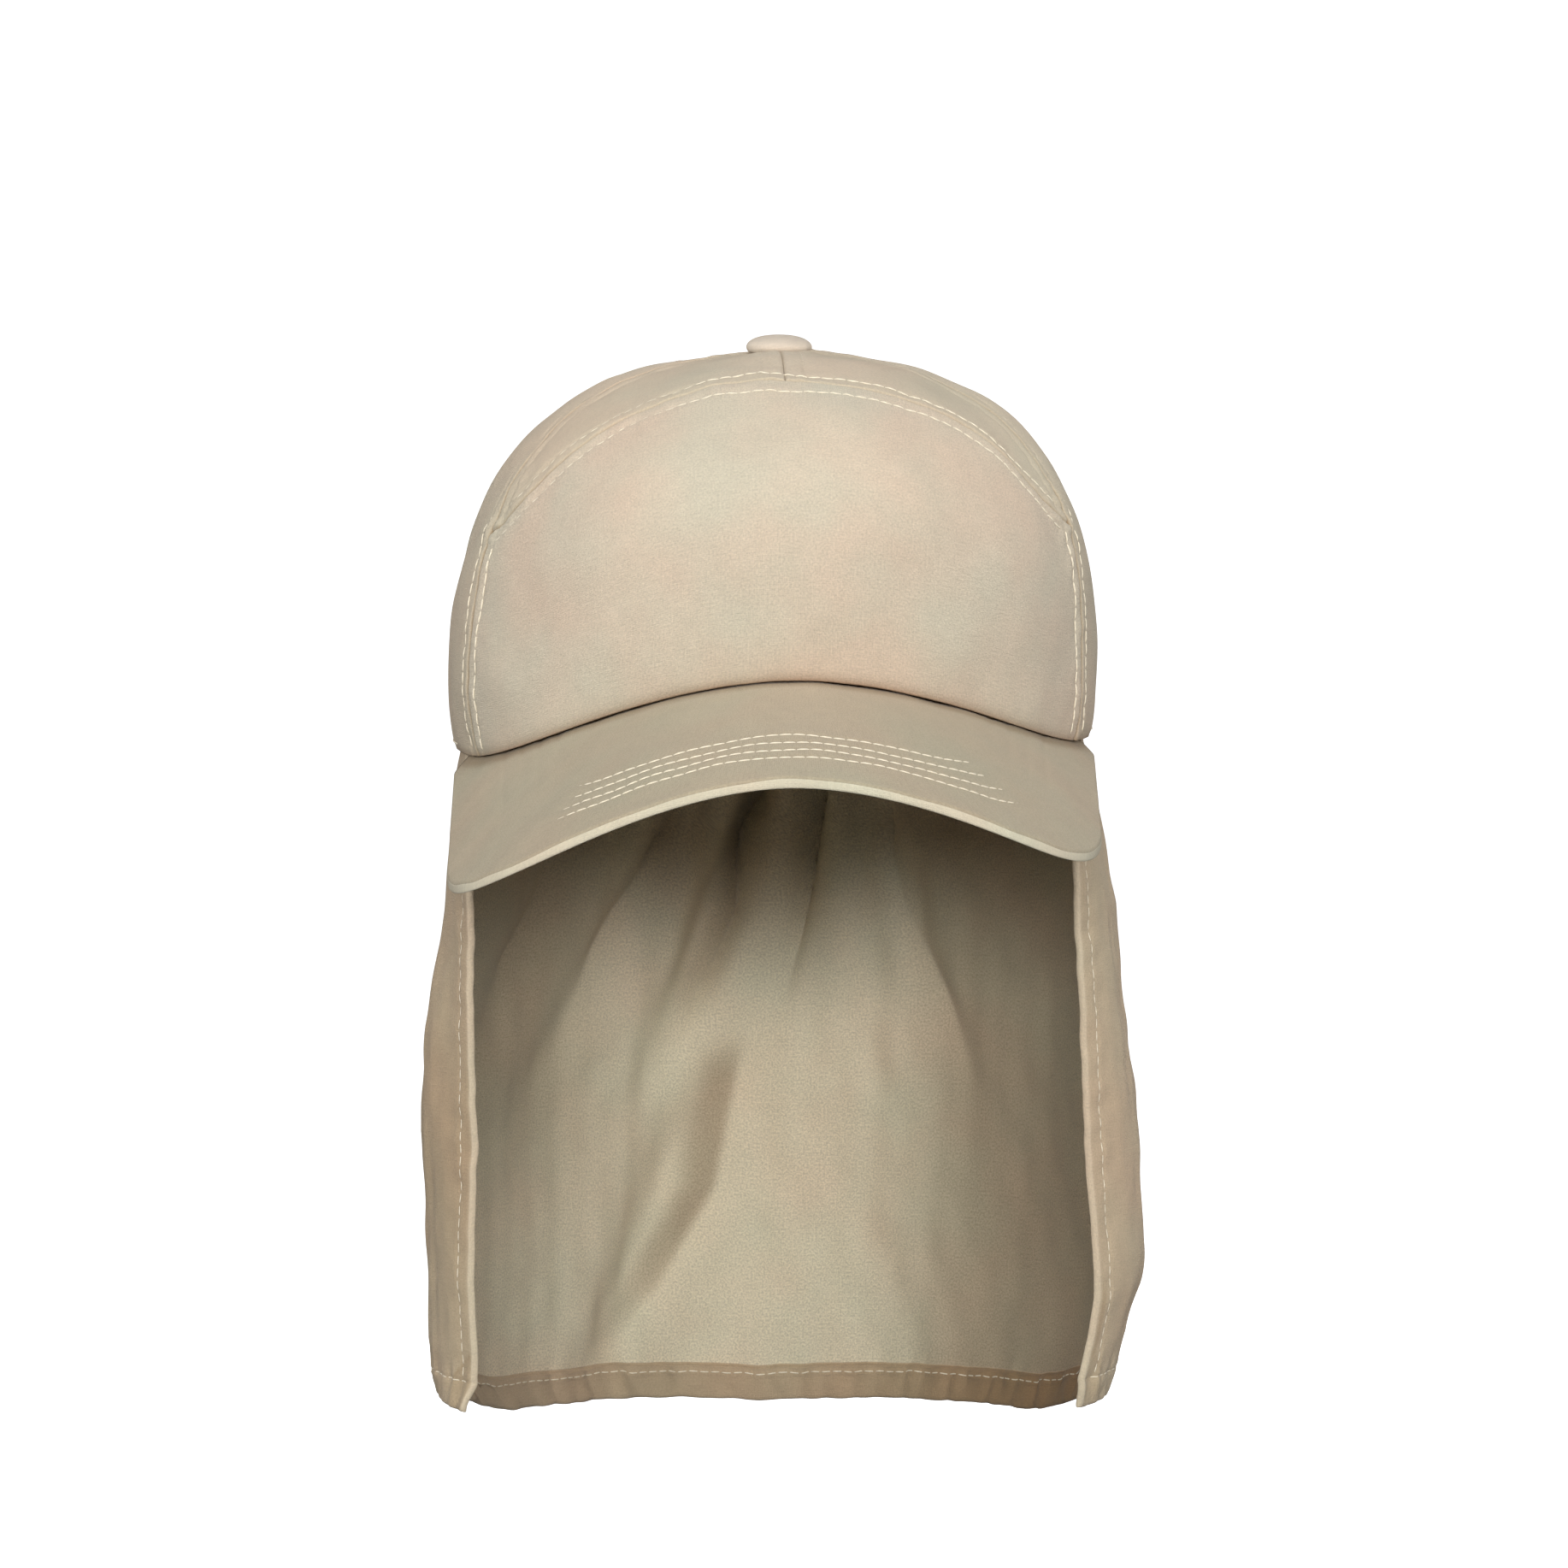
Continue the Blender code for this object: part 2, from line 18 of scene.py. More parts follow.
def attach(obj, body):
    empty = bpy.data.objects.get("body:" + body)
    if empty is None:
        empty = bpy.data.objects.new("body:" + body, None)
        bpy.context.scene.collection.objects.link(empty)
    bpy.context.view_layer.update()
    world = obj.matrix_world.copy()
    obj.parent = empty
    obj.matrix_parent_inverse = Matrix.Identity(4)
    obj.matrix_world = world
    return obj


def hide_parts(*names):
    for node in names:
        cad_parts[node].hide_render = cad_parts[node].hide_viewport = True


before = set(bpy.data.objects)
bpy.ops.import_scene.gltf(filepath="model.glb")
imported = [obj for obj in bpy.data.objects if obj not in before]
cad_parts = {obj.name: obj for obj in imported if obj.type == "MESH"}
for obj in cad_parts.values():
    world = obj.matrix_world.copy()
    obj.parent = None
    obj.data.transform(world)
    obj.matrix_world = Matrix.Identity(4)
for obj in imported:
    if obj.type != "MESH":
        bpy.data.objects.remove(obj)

LOG = logging.getLogger("sun_cap")
Array = np.ndarray
Colour = tuple[float, float, float]
MM = 0.001
FLAT_MAP = "flat"
# Point attribute of painted shade and painted light, which tints the cloth's colour.
PAINTED_SHADING = "painted_shading"


def smooth(value: Array) -> Array:
    """Ease from 0 to 1 with flat ends: three t squared less two t cubed."""
    t = np.clip(value, 0.0, 1.0)
    return t * t * (3.0 - 2.0 * t)


def ramp(value: Array, start: float, run: float) -> Array:
    """Ease from 0 at the start to 1 a run later: smooth of value less start over run."""
    return smooth((value - start) / run)


def mix(low: Array, high: Array, share: Array) -> Array:
    """Straight blend from low, at share 0, to high, at share 1."""
    return low + (high - low) * share


def slope(degrees: float) -> float:
    """Rise over run of a slope given in degrees."""
    return math.tan(math.radians(degrees))


def hump(offset: Array, width: float) -> Array:
    """A bell of height 1: e to the minus square of offset over width."""
    return np.exp(-((offset / width) ** 2))


def crowded(cells: int, edge: float) -> Array:
    """Grid parameters from 0 to 1 whose cells shrink towards both ends.

    Args:
        cells: number of cells.
        edge: how far the end cells shrink, 0 for even cells and below 1.

    Returns:
        x less the share edge of sin(2 pi x) over 2 pi, for even steps of x.
    """
    x = np.linspace(0.0, 1.0, cells + 1)
    return x - edge * np.sin(2.0 * np.pi * x) / (2.0 * np.pi)


def unit(vectors: Array) -> Array:
    """Vectors scaled to length 1."""
    return vectors / np.maximum(np.linalg.norm(vectors, axis=-1, keepdims=True), 1e-12)


def run_length(points: Array, axis: int) -> Array:
    """Length run along one axis of a grid of points, starting from 0.

    Args:
        points: a grid of points.
        axis: the axis of the grid to run along.

    Returns:
        The lengths, in the grid's shape.
    """
    steps = np.linalg.norm(np.diff(points, axis=axis), axis=-1)
    pad = [(0, 0)] * steps.ndim
    pad[axis] = (1, 0)
    return np.pad(np.cumsum(steps, axis=axis), pad)


def flat_coordinates(points: Array) -> Array:
    """Cloth coordinates of a grid in metres.

    Across is the length run along each row from the middle column, and up is the length run along
    each column from the first row, so the weave keeps its size all over the piece.

    Args:
        points: a grid of rows and columns of points.

    Returns:
        The grid's pairs of coordinates, across and up.
    """
    across = run_length(points, 1)
    across = across - across[:, points.shape[1] // 2, None]
    return np.stack([across, run_length(points, 0)], axis=-1)


def distance_to(points: Array, path: Array) -> Array:
    """Distance from each point to a path, as the least distance to its straight segments.

    Args:
        points: points in any grid shape.
        path: the path's points in order.

    Returns:
        The distances, in the grid's shape.
    """
    flat = points.reshape(-1, 1, 3)
    run = np.diff(path, axis=0)
    along = ((flat - path[:-1]) * run).sum(-1) / (run * run).sum(-1)
    gap = flat - (path[:-1] + np.clip(along, 0.0, 1.0)[..., None] * run)
    return np.sqrt((gap * gap).sum(-1).min(1)).reshape(points.shape[:-1])


def linear(red: int, green: int, blue: int) -> Colour:
    """Linear colour of an 8-bit screen colour.

    Args:
        red: red from 0 to 255.
        green: green from 0 to 255.
        blue: blue from 0 to 255.

    Returns:
        Red, green and blue from 0 to 1.
    """
    shares = (channel / 255.0 for channel in (red, green, blue))
    return tuple(s / 12.92 if s <= 0.04045 else ((s + 0.055) / 1.055) ** 2.4 for s in shares)


@dataclass(frozen=True)
class Ripple:
    """A smooth irregular ripple: a sum of sine waves with seeded directions and phases."""

    seed: int
    short: float
    long: float
    stretch: tuple[float, ...] = (1.0, 1.0, 1.0)
    waves: int = 16

    def at(self, place: Array) -> Array:
        """Height of the ripple at places of two or three coordinates; its mean square is about 1.

        Args:
            place: places whose last axis holds the coordinates.

        Returns:
            The heights, in the shape of the places.
        """
        dice = np.random.default_rng(self.seed)
        count = place.shape[-1]
        heading = unit(dice.normal(size=(self.waves, count)))
        turns = heading * (2.0 * np.pi / dice.uniform(self.short, self.long, (self.waves, 1)))
        phase = dice.uniform(0.0, 2.0 * np.pi, self.waves)
        scaled = place / np.array(self.stretch[:count])
        return np.sin(scaled @ turns.T + phase).sum(-1) / math.sqrt(self.waves / 2.0)


# Finishes


class NodeBook:
    """Short calls that lay out the nodes of one material."""

    def __init__(self, name: str) -> None:
        """Start a material with a fresh principled shader.

        Args:
            name: the material's name.
        """
        self.material = bpy.data.materials.new(name)
        self.material.use_nodes = True
        self.tree = self.material.node_tree
        self.shader = self.tree.nodes["Principled BSDF"]

    def node(self, kind: str, inputs: dict, **settings: object) -> bpy.types.Node:
        """Add one node.

        Args:
            kind: the node's class name without its ShaderNode prefix.
            inputs: values or sockets by input name or number.
            settings: options of the node.

        Returns:
            The node.
        """
        made = self.tree.nodes.new("ShaderNode" + kind)
        for name, value in settings.items():
            setattr(made, name, value)
        for key, value in inputs.items():
            if isinstance(value, bpy.types.NodeSocket):
                self.tree.links.new(value, made.inputs[key])
            else:
                made.inputs[key].default_value = value
        return made

    def math(self, operation: str, *values: object, clamp: bool = False) -> bpy.types.NodeSocket:
        """Arithmetic on values or sockets."""
        inputs = dict(enumerate(values))
        return self.node("Math", inputs, operation=operation, use_clamp=clamp).outputs[0]

    def noise(self, place: object, scale: float, detail: float = 2.0) -> bpy.types.NodeSocket:
        """Noise from 0 to 1 at a place."""
        made = self.node("TexNoise", {"Vector": place, "Scale": scale, "Detail": detail})
        return made.outputs[0]

    def stretched(self, place: object, scale: Colour) -> bpy.types.NodeSocket:
        """A place scaled by a different number along each axis."""
        return self.node("Mapping", {"Vector": place, "Scale": scale}).outputs[0]

    def blend(self, share: object, low: object, high: object, **settings: object) -> bpy.types.NodeSocket:
        """Blend of two colours, given as linear colours or sockets."""
        ends = [c if isinstance(c, bpy.types.NodeSocket) else (*c, 1.0) for c in (low, high)]
        return self.node("Mix", {0: share, 6: ends[0], 7: ends[1]}, data_type="RGBA", **settings).outputs[2]

    def weighted(self, terms: list[tuple[object, float]], start: float) -> bpy.types.NodeSocket:
        """Start plus each term's difference from a half, times its weight.

        Args:
            terms: pairs of a socket and its weight.
            start: the value to start from.

        Returns:
            The sum's socket.
        """
        total = start
        for socket, weight in terms:
            part = self.math("MULTIPLY_ADD", socket, weight, -0.5 * weight)
            total = self.math("ADD", part, total)
        return total

    def shade(self, sockets: dict) -> None:
        """Set or link the shader's sockets.

        Args:
            sockets: values or sockets by the shader's input names.
        """
        for name, value in sockets.items():
            if isinstance(value, bpy.types.NodeSocket):
                self.tree.links.new(value, self.shader.inputs[name])
            else:
                self.shader.inputs[name].default_value = value


@dataclass(frozen=True)
class ClothFinish:
    """Plain-woven brushed cotton: threads over and under, slubs, soft mottling and a dry sheen.

    The painted shading paints shade and light: where it is 1 the colour is multiplied by the
    painted shading tone, and below 0 it moves the other way. Heights and changes are the weights
    of weave, slubs, specks and patches.
    """

    name: str
    colour: Colour
    warm: Colour = (1.035, 0.985, 0.965)
    cool: Colour = (0.975, 1.005, 0.99)
    thread: float = 0.00048
    weave_depth: float = 0.00016
    weave_contrast: float = 0.10
    depth: float = 0.17
    mottle: float = 0.34
    grain: float = 0.62
    roughness: float = 0.92
    sheen: float = 0.12
    # Tone of the painted shade, or of the painted light where it is above 1.
    painted_shading_tone: Colour = (0.62, 0.52, 0.42)
    wander_scale: float = 420.0
    mottle_scale: float = 260.0
    patch_scale: float = 38.0
    hue_scale: float = 30.0
    speck_scale: float = 1700.0
    slub_width: float = 1.4
    slub_length: float = 11.0
    slub_tones: tuple[float, float] = (0.30, 0.34)
    patch_tone: float = 0.34
    hue_contrast: tuple[float, float] = (3.2, -1.1)
    wander: float = 5.0
    crossing: float = 2.5
    heights: tuple[float, ...] = (0.55, 0.7, 0.7, 0.5)
    bump: float = 0.8
    rough_changes: tuple[float, float] = (0.10, 0.06)
    sheen_roughness: float = 0.5
    specular: float = 0.2

    def tinted(self, factor: float, tone: Colour = (1.0, 1.0, 1.0)) -> Colour:
        """The cloth's colour times a factor and a tone."""
        return tuple(c * factor * t for c, t in zip(self.colour, tone))

    def weave(self, book: NodeBook, flat: object) -> bpy.types.NodeSocket:
        """Height of the weave.

        Each set of threads is the absolute sine of its coordinate. The sign of the product of the
        two sines says which set is on top, and a little noise keeps the threads from being even.

        Args:
            book: the material's nodes.
            flat: socket of the cloth coordinates.

        Returns:
            The height's socket.
        """
        wander = book.noise(flat, self.wander_scale, 1.0)
        parts = book.node("SeparateXYZ", {"Vector": flat}).outputs
        waves = []
        for part in (parts[0], parts[1]):
            phase = book.math("MULTIPLY_ADD", part, math.pi / self.thread, 0.0)
            waves.append(book.math("SINE", book.math("MULTIPLY_ADD", wander, self.wander, phase)))
        warp, weft = (book.math("ABSOLUTE", wave) for wave in waves)
        over = book.math("MULTIPLY_ADD", book.math("MULTIPLY", *waves), self.crossing, 0.5, clamp=True)
        return book.math("MULTIPLY_ADD", book.math("SUBTRACT", weft, warp), over, warp)

    def material(self) -> bpy.types.Material:
        """Build the cloth's material.

        Returns:
            The material.
        """
        book = NodeBook(self.name)
        flat = book.node("UVMap", {}, uv_map=FLAT_MAP).outputs[0]
        place = book.node("TexCoord", {}).outputs["Object"]
        weave = self.weave(book, flat)
        fine = 1.0 / (self.slub_width * self.thread)
        coarse = 1.0 / (self.slub_length * self.thread)
        slub_up = book.noise(book.stretched(flat, (fine, coarse, 1.0)), 1.0)
        slub_across = book.noise(book.stretched(flat, (coarse, fine, 1.0)), 1.0)
        mottle = book.noise(place, self.mottle_scale, 3.0)
        patch = book.noise(place, self.patch_scale, 2.0)
        speck = book.noise(flat, self.speck_scale, 1.0)
        parts = (weave, slub_up, slub_across, mottle, patch, speck)
        weights = (self.weave_contrast, *self.slub_tones, self.mottle, self.patch_tone, self.grain)
        terms = list(zip(parts, weights))
        tone = book.math("MINIMUM", book.math("MAXIMUM", book.weighted(terms, 0.5), 0.0), 1.0)
        hues = [book.blend(tone, self.tinted(1.0 - self.depth, hue), self.tinted(1.0 + self.depth, hue))
                for hue in (self.cool, self.warm)]
        hue_patch = book.noise(place, self.hue_scale, 2.0)
        share = book.math("MULTIPLY_ADD", hue_patch, *self.hue_contrast, clamp=True)
        base = book.blend(share, *hues)
        # Painted shade and painted light: the attribute pulls the colour towards the painted shading tone.
        seam = book.node("Attribute", {}, attribute_name=PAINTED_SHADING).outputs["Fac"]
        toned = book.blend(1.0, base, self.painted_shading_tone, blend_type="MULTIPLY")
        colour = book.blend(seam, base, toned, clamp_factor=False)
        height = book.weighted(list(zip((weave, slub_up, slub_across, speck), self.heights)), 0.5)
        bump = book.node("Bump", {"Strength": self.bump, "Distance": self.weave_depth, "Height": height})
        rough = book.weighted(list(zip((speck, patch), self.rough_changes)), self.roughness)
        book.shade({"Base Color": colour, "Roughness": rough, "Normal": bump.outputs[0]})
        book.shade({"Sheen Weight": self.sheen, "Sheen Roughness": self.sheen_roughness})
        book.shade({"Specular IOR Level": self.specular})
        return book.material


@dataclass(frozen=True)
class ThreadFinish:
    """Cream sewing thread: two plies that twist round each other, with a soft shine."""

    name: str = "sewing_thread"
    colour: Colour = linear(240, 230, 207)
    twist: float = 0.0011
    twist_turn: float = 0.7
    twist_bands: float = 0.3
    fuzz_scale: float = 1800.0
    start_tone: float = 0.6
    contrasts: tuple[float, float] = (0.5, 0.8)
    tones: tuple[float, float] = (0.80, 1.06)
    bump: float = 0.6
    bump_depth: float = 0.0001
    roughness: float = 0.6
    sheen: float = 0.2
    specular: float = 0.35

    def material(self) -> bpy.types.Material:
        """Build the thread's material; the twist is a band wave along and round the stitch.

        Returns:
            The material.
        """
        book = NodeBook(self.name)
        flat = book.node("UVMap", {}, uv_map=FLAT_MAP).outputs[0]
        turned = book.node("Mapping", {"Vector": flat, "Rotation": (0.0, 0.0, self.twist_turn)}).outputs[0]
        wave = book.node("TexWave", {"Vector": turned, "Scale": self.twist_bands / self.twist}).outputs[1]
        fuzz = book.noise(book.node("TexCoord", {}).outputs["Object"], self.fuzz_scale, 2.0)
        tone = book.weighted(list(zip((wave, fuzz), self.contrasts)), self.start_tone)
        low, high = (tuple(c * k for c in self.colour) for k in self.tones)
        bump = book.node("Bump", {"Strength": self.bump, "Distance": self.bump_depth, "Height": wave})
        book.shade({"Base Color": book.blend(tone, low, high), "Normal": bump.outputs[0]})
        book.shade({"Roughness": self.roughness, "Sheen Weight": self.sheen})
        book.shade({"Specular IOR Level": self.specular})
        return book.material


@dataclass(frozen=True)
class Wardrobe:
    """Every finish of the cap."""

    # The front's painted shading tone is the reddish brown of the painted shade along its rim.
    front: ClothFinish = ClothFinish(
        "front_cotton", linear(202, 188, 168), warm=(1.035, 0.976, 0.955), cool=(0.955, 1.010, 1.0),
        grain=1.5, painted_shading_tone=(0.62, 0.49, 0.39))
    crown: ClothFinish = ClothFinish("crown_cotton", linear(198, 184, 162), grain=1.2)
    button: ClothFinish = ClothFinish("button_cotton", linear(211, 200, 184))
    # The peak and its rolled edge are one cloth in two copies: the edge's lighter copy is painted light, the
    # peak's darker one painted shade on its top.
    peak: ClothFinish = ClothFinish("peak_cotton", linear(172, 160, 137), grain=1.3)
    peak_edge: ClothFinish = ClothFinish(
        "peak_edge_cotton", linear(214, 205, 182), painted_shading_tone=(0.80, 0.79, 0.78))
    # The outside's painted shading tone is lighter: painted light where it is 1, painted shade below 0.
    flap_out: ClothFinish = ClothFinish(
        "flap_cotton_outside", linear(188, 168, 141), grain=1.0, painted_shading_tone=(1.21, 1.27, 1.34))
    # The inside's painted shading tone colours its painted shade.
    flap_in: ClothFinish = ClothFinish(
        "flap_cotton_inside", linear(216, 205, 180), mottle=0.22, grain=2.6, painted_shading_tone=(0.52, 0.46, 0.41))
    thread: ThreadFinish = ThreadFinish()


# Meshes


class Patchwork:
    """Vertices, faces, cloth coordinates and finishes of one piece, before it becomes a mesh."""

    def __init__(self) -> None:
        """Start an empty piece."""
        self.points: list[Array] = []
        self.corners: list[Array] = []
        self.flats: list[Array] = []
        self.finish: list[Array] = []
        self.shade: list[Array] = []
        self.count = 0

    def add_points(self, points: Array, shade: Array | None = None) -> Array:
        """Add points of any grid shape.

        Args:
            points: an array whose last axis holds x, y and z.
            shade: painted shading of each point, or None for none.

        Returns:
            The vertex numbers, in the grid's shape.
        """
        shape = points.shape[:-1]
        numbers = self.count + np.arange(math.prod(shape)).reshape(shape)
        self.points.append(points.reshape(-1, 3))
        self.shade.append(np.zeros(math.prod(shape)) if shade is None else shade.ravel())
        self.count += math.prod(shape)
        return numbers

    def add_faces(self, corners: Array, flats: Array, finish: Array | int = 0) -> None:
        """Add faces that all have the same number of corners, with their cloth coordinates.

        Args:
            corners: vertex numbers, face by face.
            flats: cloth coordinates of each corner.
            finish: finish number of all faces or of each.
        """
        self.corners.append(corners)
        self.flats.append(flats)
        self.finish.append(np.broadcast_to(np.asarray(finish).ravel(), len(corners)))

    @staticmethod
    def quads(grid: Array) -> Array:
        """The four corner values of each cell of a grid, in turning order.

        Args:
            grid: values by row and column.

        Returns:
            The values by face and corner.
        """
        cells = [grid[:-1, :-1], grid[:-1, 1:], grid[1:, 1:], grid[1:, :-1]]
        stacked = np.stack(cells, axis=2)
        return stacked.reshape(-1, 4, *grid.shape[2:])

    @staticmethod
    def border(grid: Array) -> Array:
        """The grid's border as one closed loop, in the order of its faces."""
        parts = [grid[0, :-1], grid[:-1, -1], grid[-1, :0:-1], grid[:0:-1, 0], grid[:1, 0]]
        return np.concatenate(parts)

    def add_shell(self, outer: Array, inner: Array, flat: Array, shade: Array | None = None,
                  finish: tuple[Array | int, Array | int] = (0, 0),
                  inner_shade: Array | None = None) -> None:
        """Add a closed wall of cloth between two grids of the same shape.

        Args:
            outer: points of the face that turns outwards.
            inner: points of the other face.
            flat: cloth coordinates of both.
            shade: painted shading of the outer points.
            finish: finish numbers of the outer and the inner faces.
            inner_shade: painted shading of the inner points, or None for that of the outer ones.
        """
        out = self.add_points(outer, shade)
        ins = self.add_points(inner, shade if inner_shade is None else inner_shade)
        flats = self.quads(flat)
        self.add_faces(self.quads(out), flats, finish[0])
        self.add_faces(self.quads(ins)[:, ::-1], flats[:, ::-1], finish[1])
        rim_out, rim_in, rim_flat = self.border(out), self.border(ins), self.border(flat)
        rim = np.stack([rim_out[1:], rim_out[:-1], rim_in[:-1], rim_in[1:]], axis=1)
        ends = np.stack([rim_flat[1:], rim_flat[:-1], rim_flat[:-1], rim_flat[1:]], axis=1)
        self.add_faces(rim, ends, 0)

    def add_tubes(self, rings: Array, shade: Array | None = None, finish: Array | int = 0) -> None:
        """Add closed tubes whose two ends are capped.

        Args:
            rings: points as tube, ring, place round the ring, and x, y, z.
            shade: painted shading of the points, or None.
            finish: finish number by place round the ring.
        """
        numbers = self.add_points(rings, shade)
        loop = np.concatenate([rings, rings[:, :, :1]], axis=2)
        flat = np.stack([run_length(loop, 2), np.broadcast_to(
            run_length(rings, 1).mean(2, keepdims=True), loop.shape[:3])], axis=-1)
        closed = np.concatenate([numbers, numbers[:, :, :1]], axis=2)
        corners, flats = (
            np.stack([grid[:, :-1, :-1], grid[:, :-1, 1:], grid[:, 1:, 1:], grid[:, 1:, :-1]], axis=3)
            for grid in (closed, flat))
        numbers_of_finish = np.broadcast_to(finish, corners.shape[:3])
        self.add_faces(corners.reshape(-1, 4), flats.reshape(-1, 4, 2), numbers_of_finish)
        for ring, step in ((0, -1), (-1, 1)):
            self.add_faces(numbers[:, ring, ::step], flat[:, ring, :-1][:, ::step])

    def make(self, name: str, finishes: list, nodes: tuple[str, ...] = ()) -> bpy.types.Object:
        """Turn the piece into an object that rides on the cap.

        Args:
            name: the piece's name.
            finishes: materials by finish number.
            nodes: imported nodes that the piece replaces.

        Returns:
            The object.
        """
        mesh = bpy.data.meshes.new(name)
        points = np.concatenate(self.points)
        corners = np.concatenate([c.ravel() for c in self.corners])
        sizes = np.concatenate([np.full(len(c), c.shape[1]) for c in self.corners])
        mesh.vertices.add(len(points))
        mesh.vertices.foreach_set("co", points.ravel())
        mesh.loops.add(len(corners))
        mesh.loops.foreach_set("vertex_index", corners.astype(np.int32))
        mesh.polygons.add(len(sizes))
        starts = np.concatenate([[0], np.cumsum(sizes)[:-1]])
        mesh.polygons.foreach_set("loop_start", starts.astype(np.int32))
        mesh.polygons.foreach_set("material_index", np.concatenate(self.finish).astype(np.int32))
        mesh.polygons.foreach_set("use_smooth", np.ones(len(sizes), dtype=bool))
        flats = np.concatenate([f.reshape(-1, 2) for f in self.flats])
        mesh.uv_layers.new(name=FLAT_MAP).data.foreach_set("uv", flats.ravel())
        shade = mesh.attributes.new(PAINTED_SHADING, "FLOAT", "POINT")
        shade.data.foreach_set("value", np.concatenate(self.shade).astype(np.float32))
        mesh.update(calc_edges=True)
        for finish in finishes:
            mesh.materials.append(finish)
        made = bpy.data.objects.new(name, mesh)
        bpy.context.scene.collection.objects.link(made)
        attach(made, "root")
        if nodes:
            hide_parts(*nodes)
        LOG.info("%s: %d faces", name, len(sizes))
        return made


@dataclass(frozen=True)
class StitchRow:
    """One row of stitches: a path on the cloth with its normals and how much thread shows."""

    path: Array
    normal: Array
    show: Array | float = 1.0


@dataclass(frozen=True)
class Stitching:
    """Rows of machine stitches, each stitch a small capsule half sunk in the cloth."""

    name: str
    slot: str
    rows: list[StitchRow]
    length: float = 0.0032
    gap: float = 0.00025
    thick: float = 0.00042
    sides: int = 6
    rings: int = 6
    first_at: float = 0.3
    blunt: float = 0.96
    stand: float = 0.26
    dip: float = 0.22
    sink: float = 1.15

    def capsules(self, row: StitchRow) -> Array:
        """Rings of every stitch of a row.

        The stitches are spaced by length run along the path. Along a stitch the radius follows
        the fourth root of one less x to the fourth, and the middle stands higher than the ends.

        Args:
            row: the row to sew.

        Returns:
            Points by stitch, ring and place round the ring.
        """
        run = run_length(row.path, 0)
        pitch = self.length + self.gap
        starts = np.arange(self.first_at * pitch, run[-1] - pitch, pitch)[:, None]
        x = np.linspace(-1.0, 1.0, self.rings)[None, :]
        at = starts + self.length / 2.0 * (1.0 + x)

        def read(values: Array) -> Array:
            """Vectors along the path, read at the rings' places."""
            return np.stack([np.interp(at, run, column) for column in values.T], axis=-1)

        centre, normal = read(row.path), unit(read(row.normal))
        side = unit(np.cross(normal, np.gradient(centre, axis=1)))
        show = np.interp(at, run, np.broadcast_to(row.show, run.shape))
        radius = self.thick / 2.0 * (1.0 - self.blunt * x**4) ** 0.25
        lift = self.thick * (self.stand - self.dip * x**4 + self.sink * (show - 1.0))
        turn = np.linspace(0.0, 2.0 * np.pi, self.sides, endpoint=False)
        ring = np.cos(turn)[:, None] * side[..., None, :] + np.sin(turn)[:, None] * normal[..., None, :]
        return (centre + lift[..., None] * normal)[..., None, :] + radius[..., None, None] * ring

    def build(self, finish: bpy.types.Material) -> bpy.types.Object:
        """Build all rows as one piece.

        Args:
            finish: the thread's material.

        Returns:
            The object.
        """
        piece = Patchwork()
        piece.add_tubes(np.concatenate([self.capsules(row) for row in self.rows]))
        return piece.make(self.name, [finish])


# Form of the cap


@dataclass(frozen=True)
class Dent:
    """A soft dent of the crown: azimuth and half angle in degrees, heights as shares, depth inwards."""

    azimuth: float
    height: float
    half_angle: float
    half_height: float
    depth: float


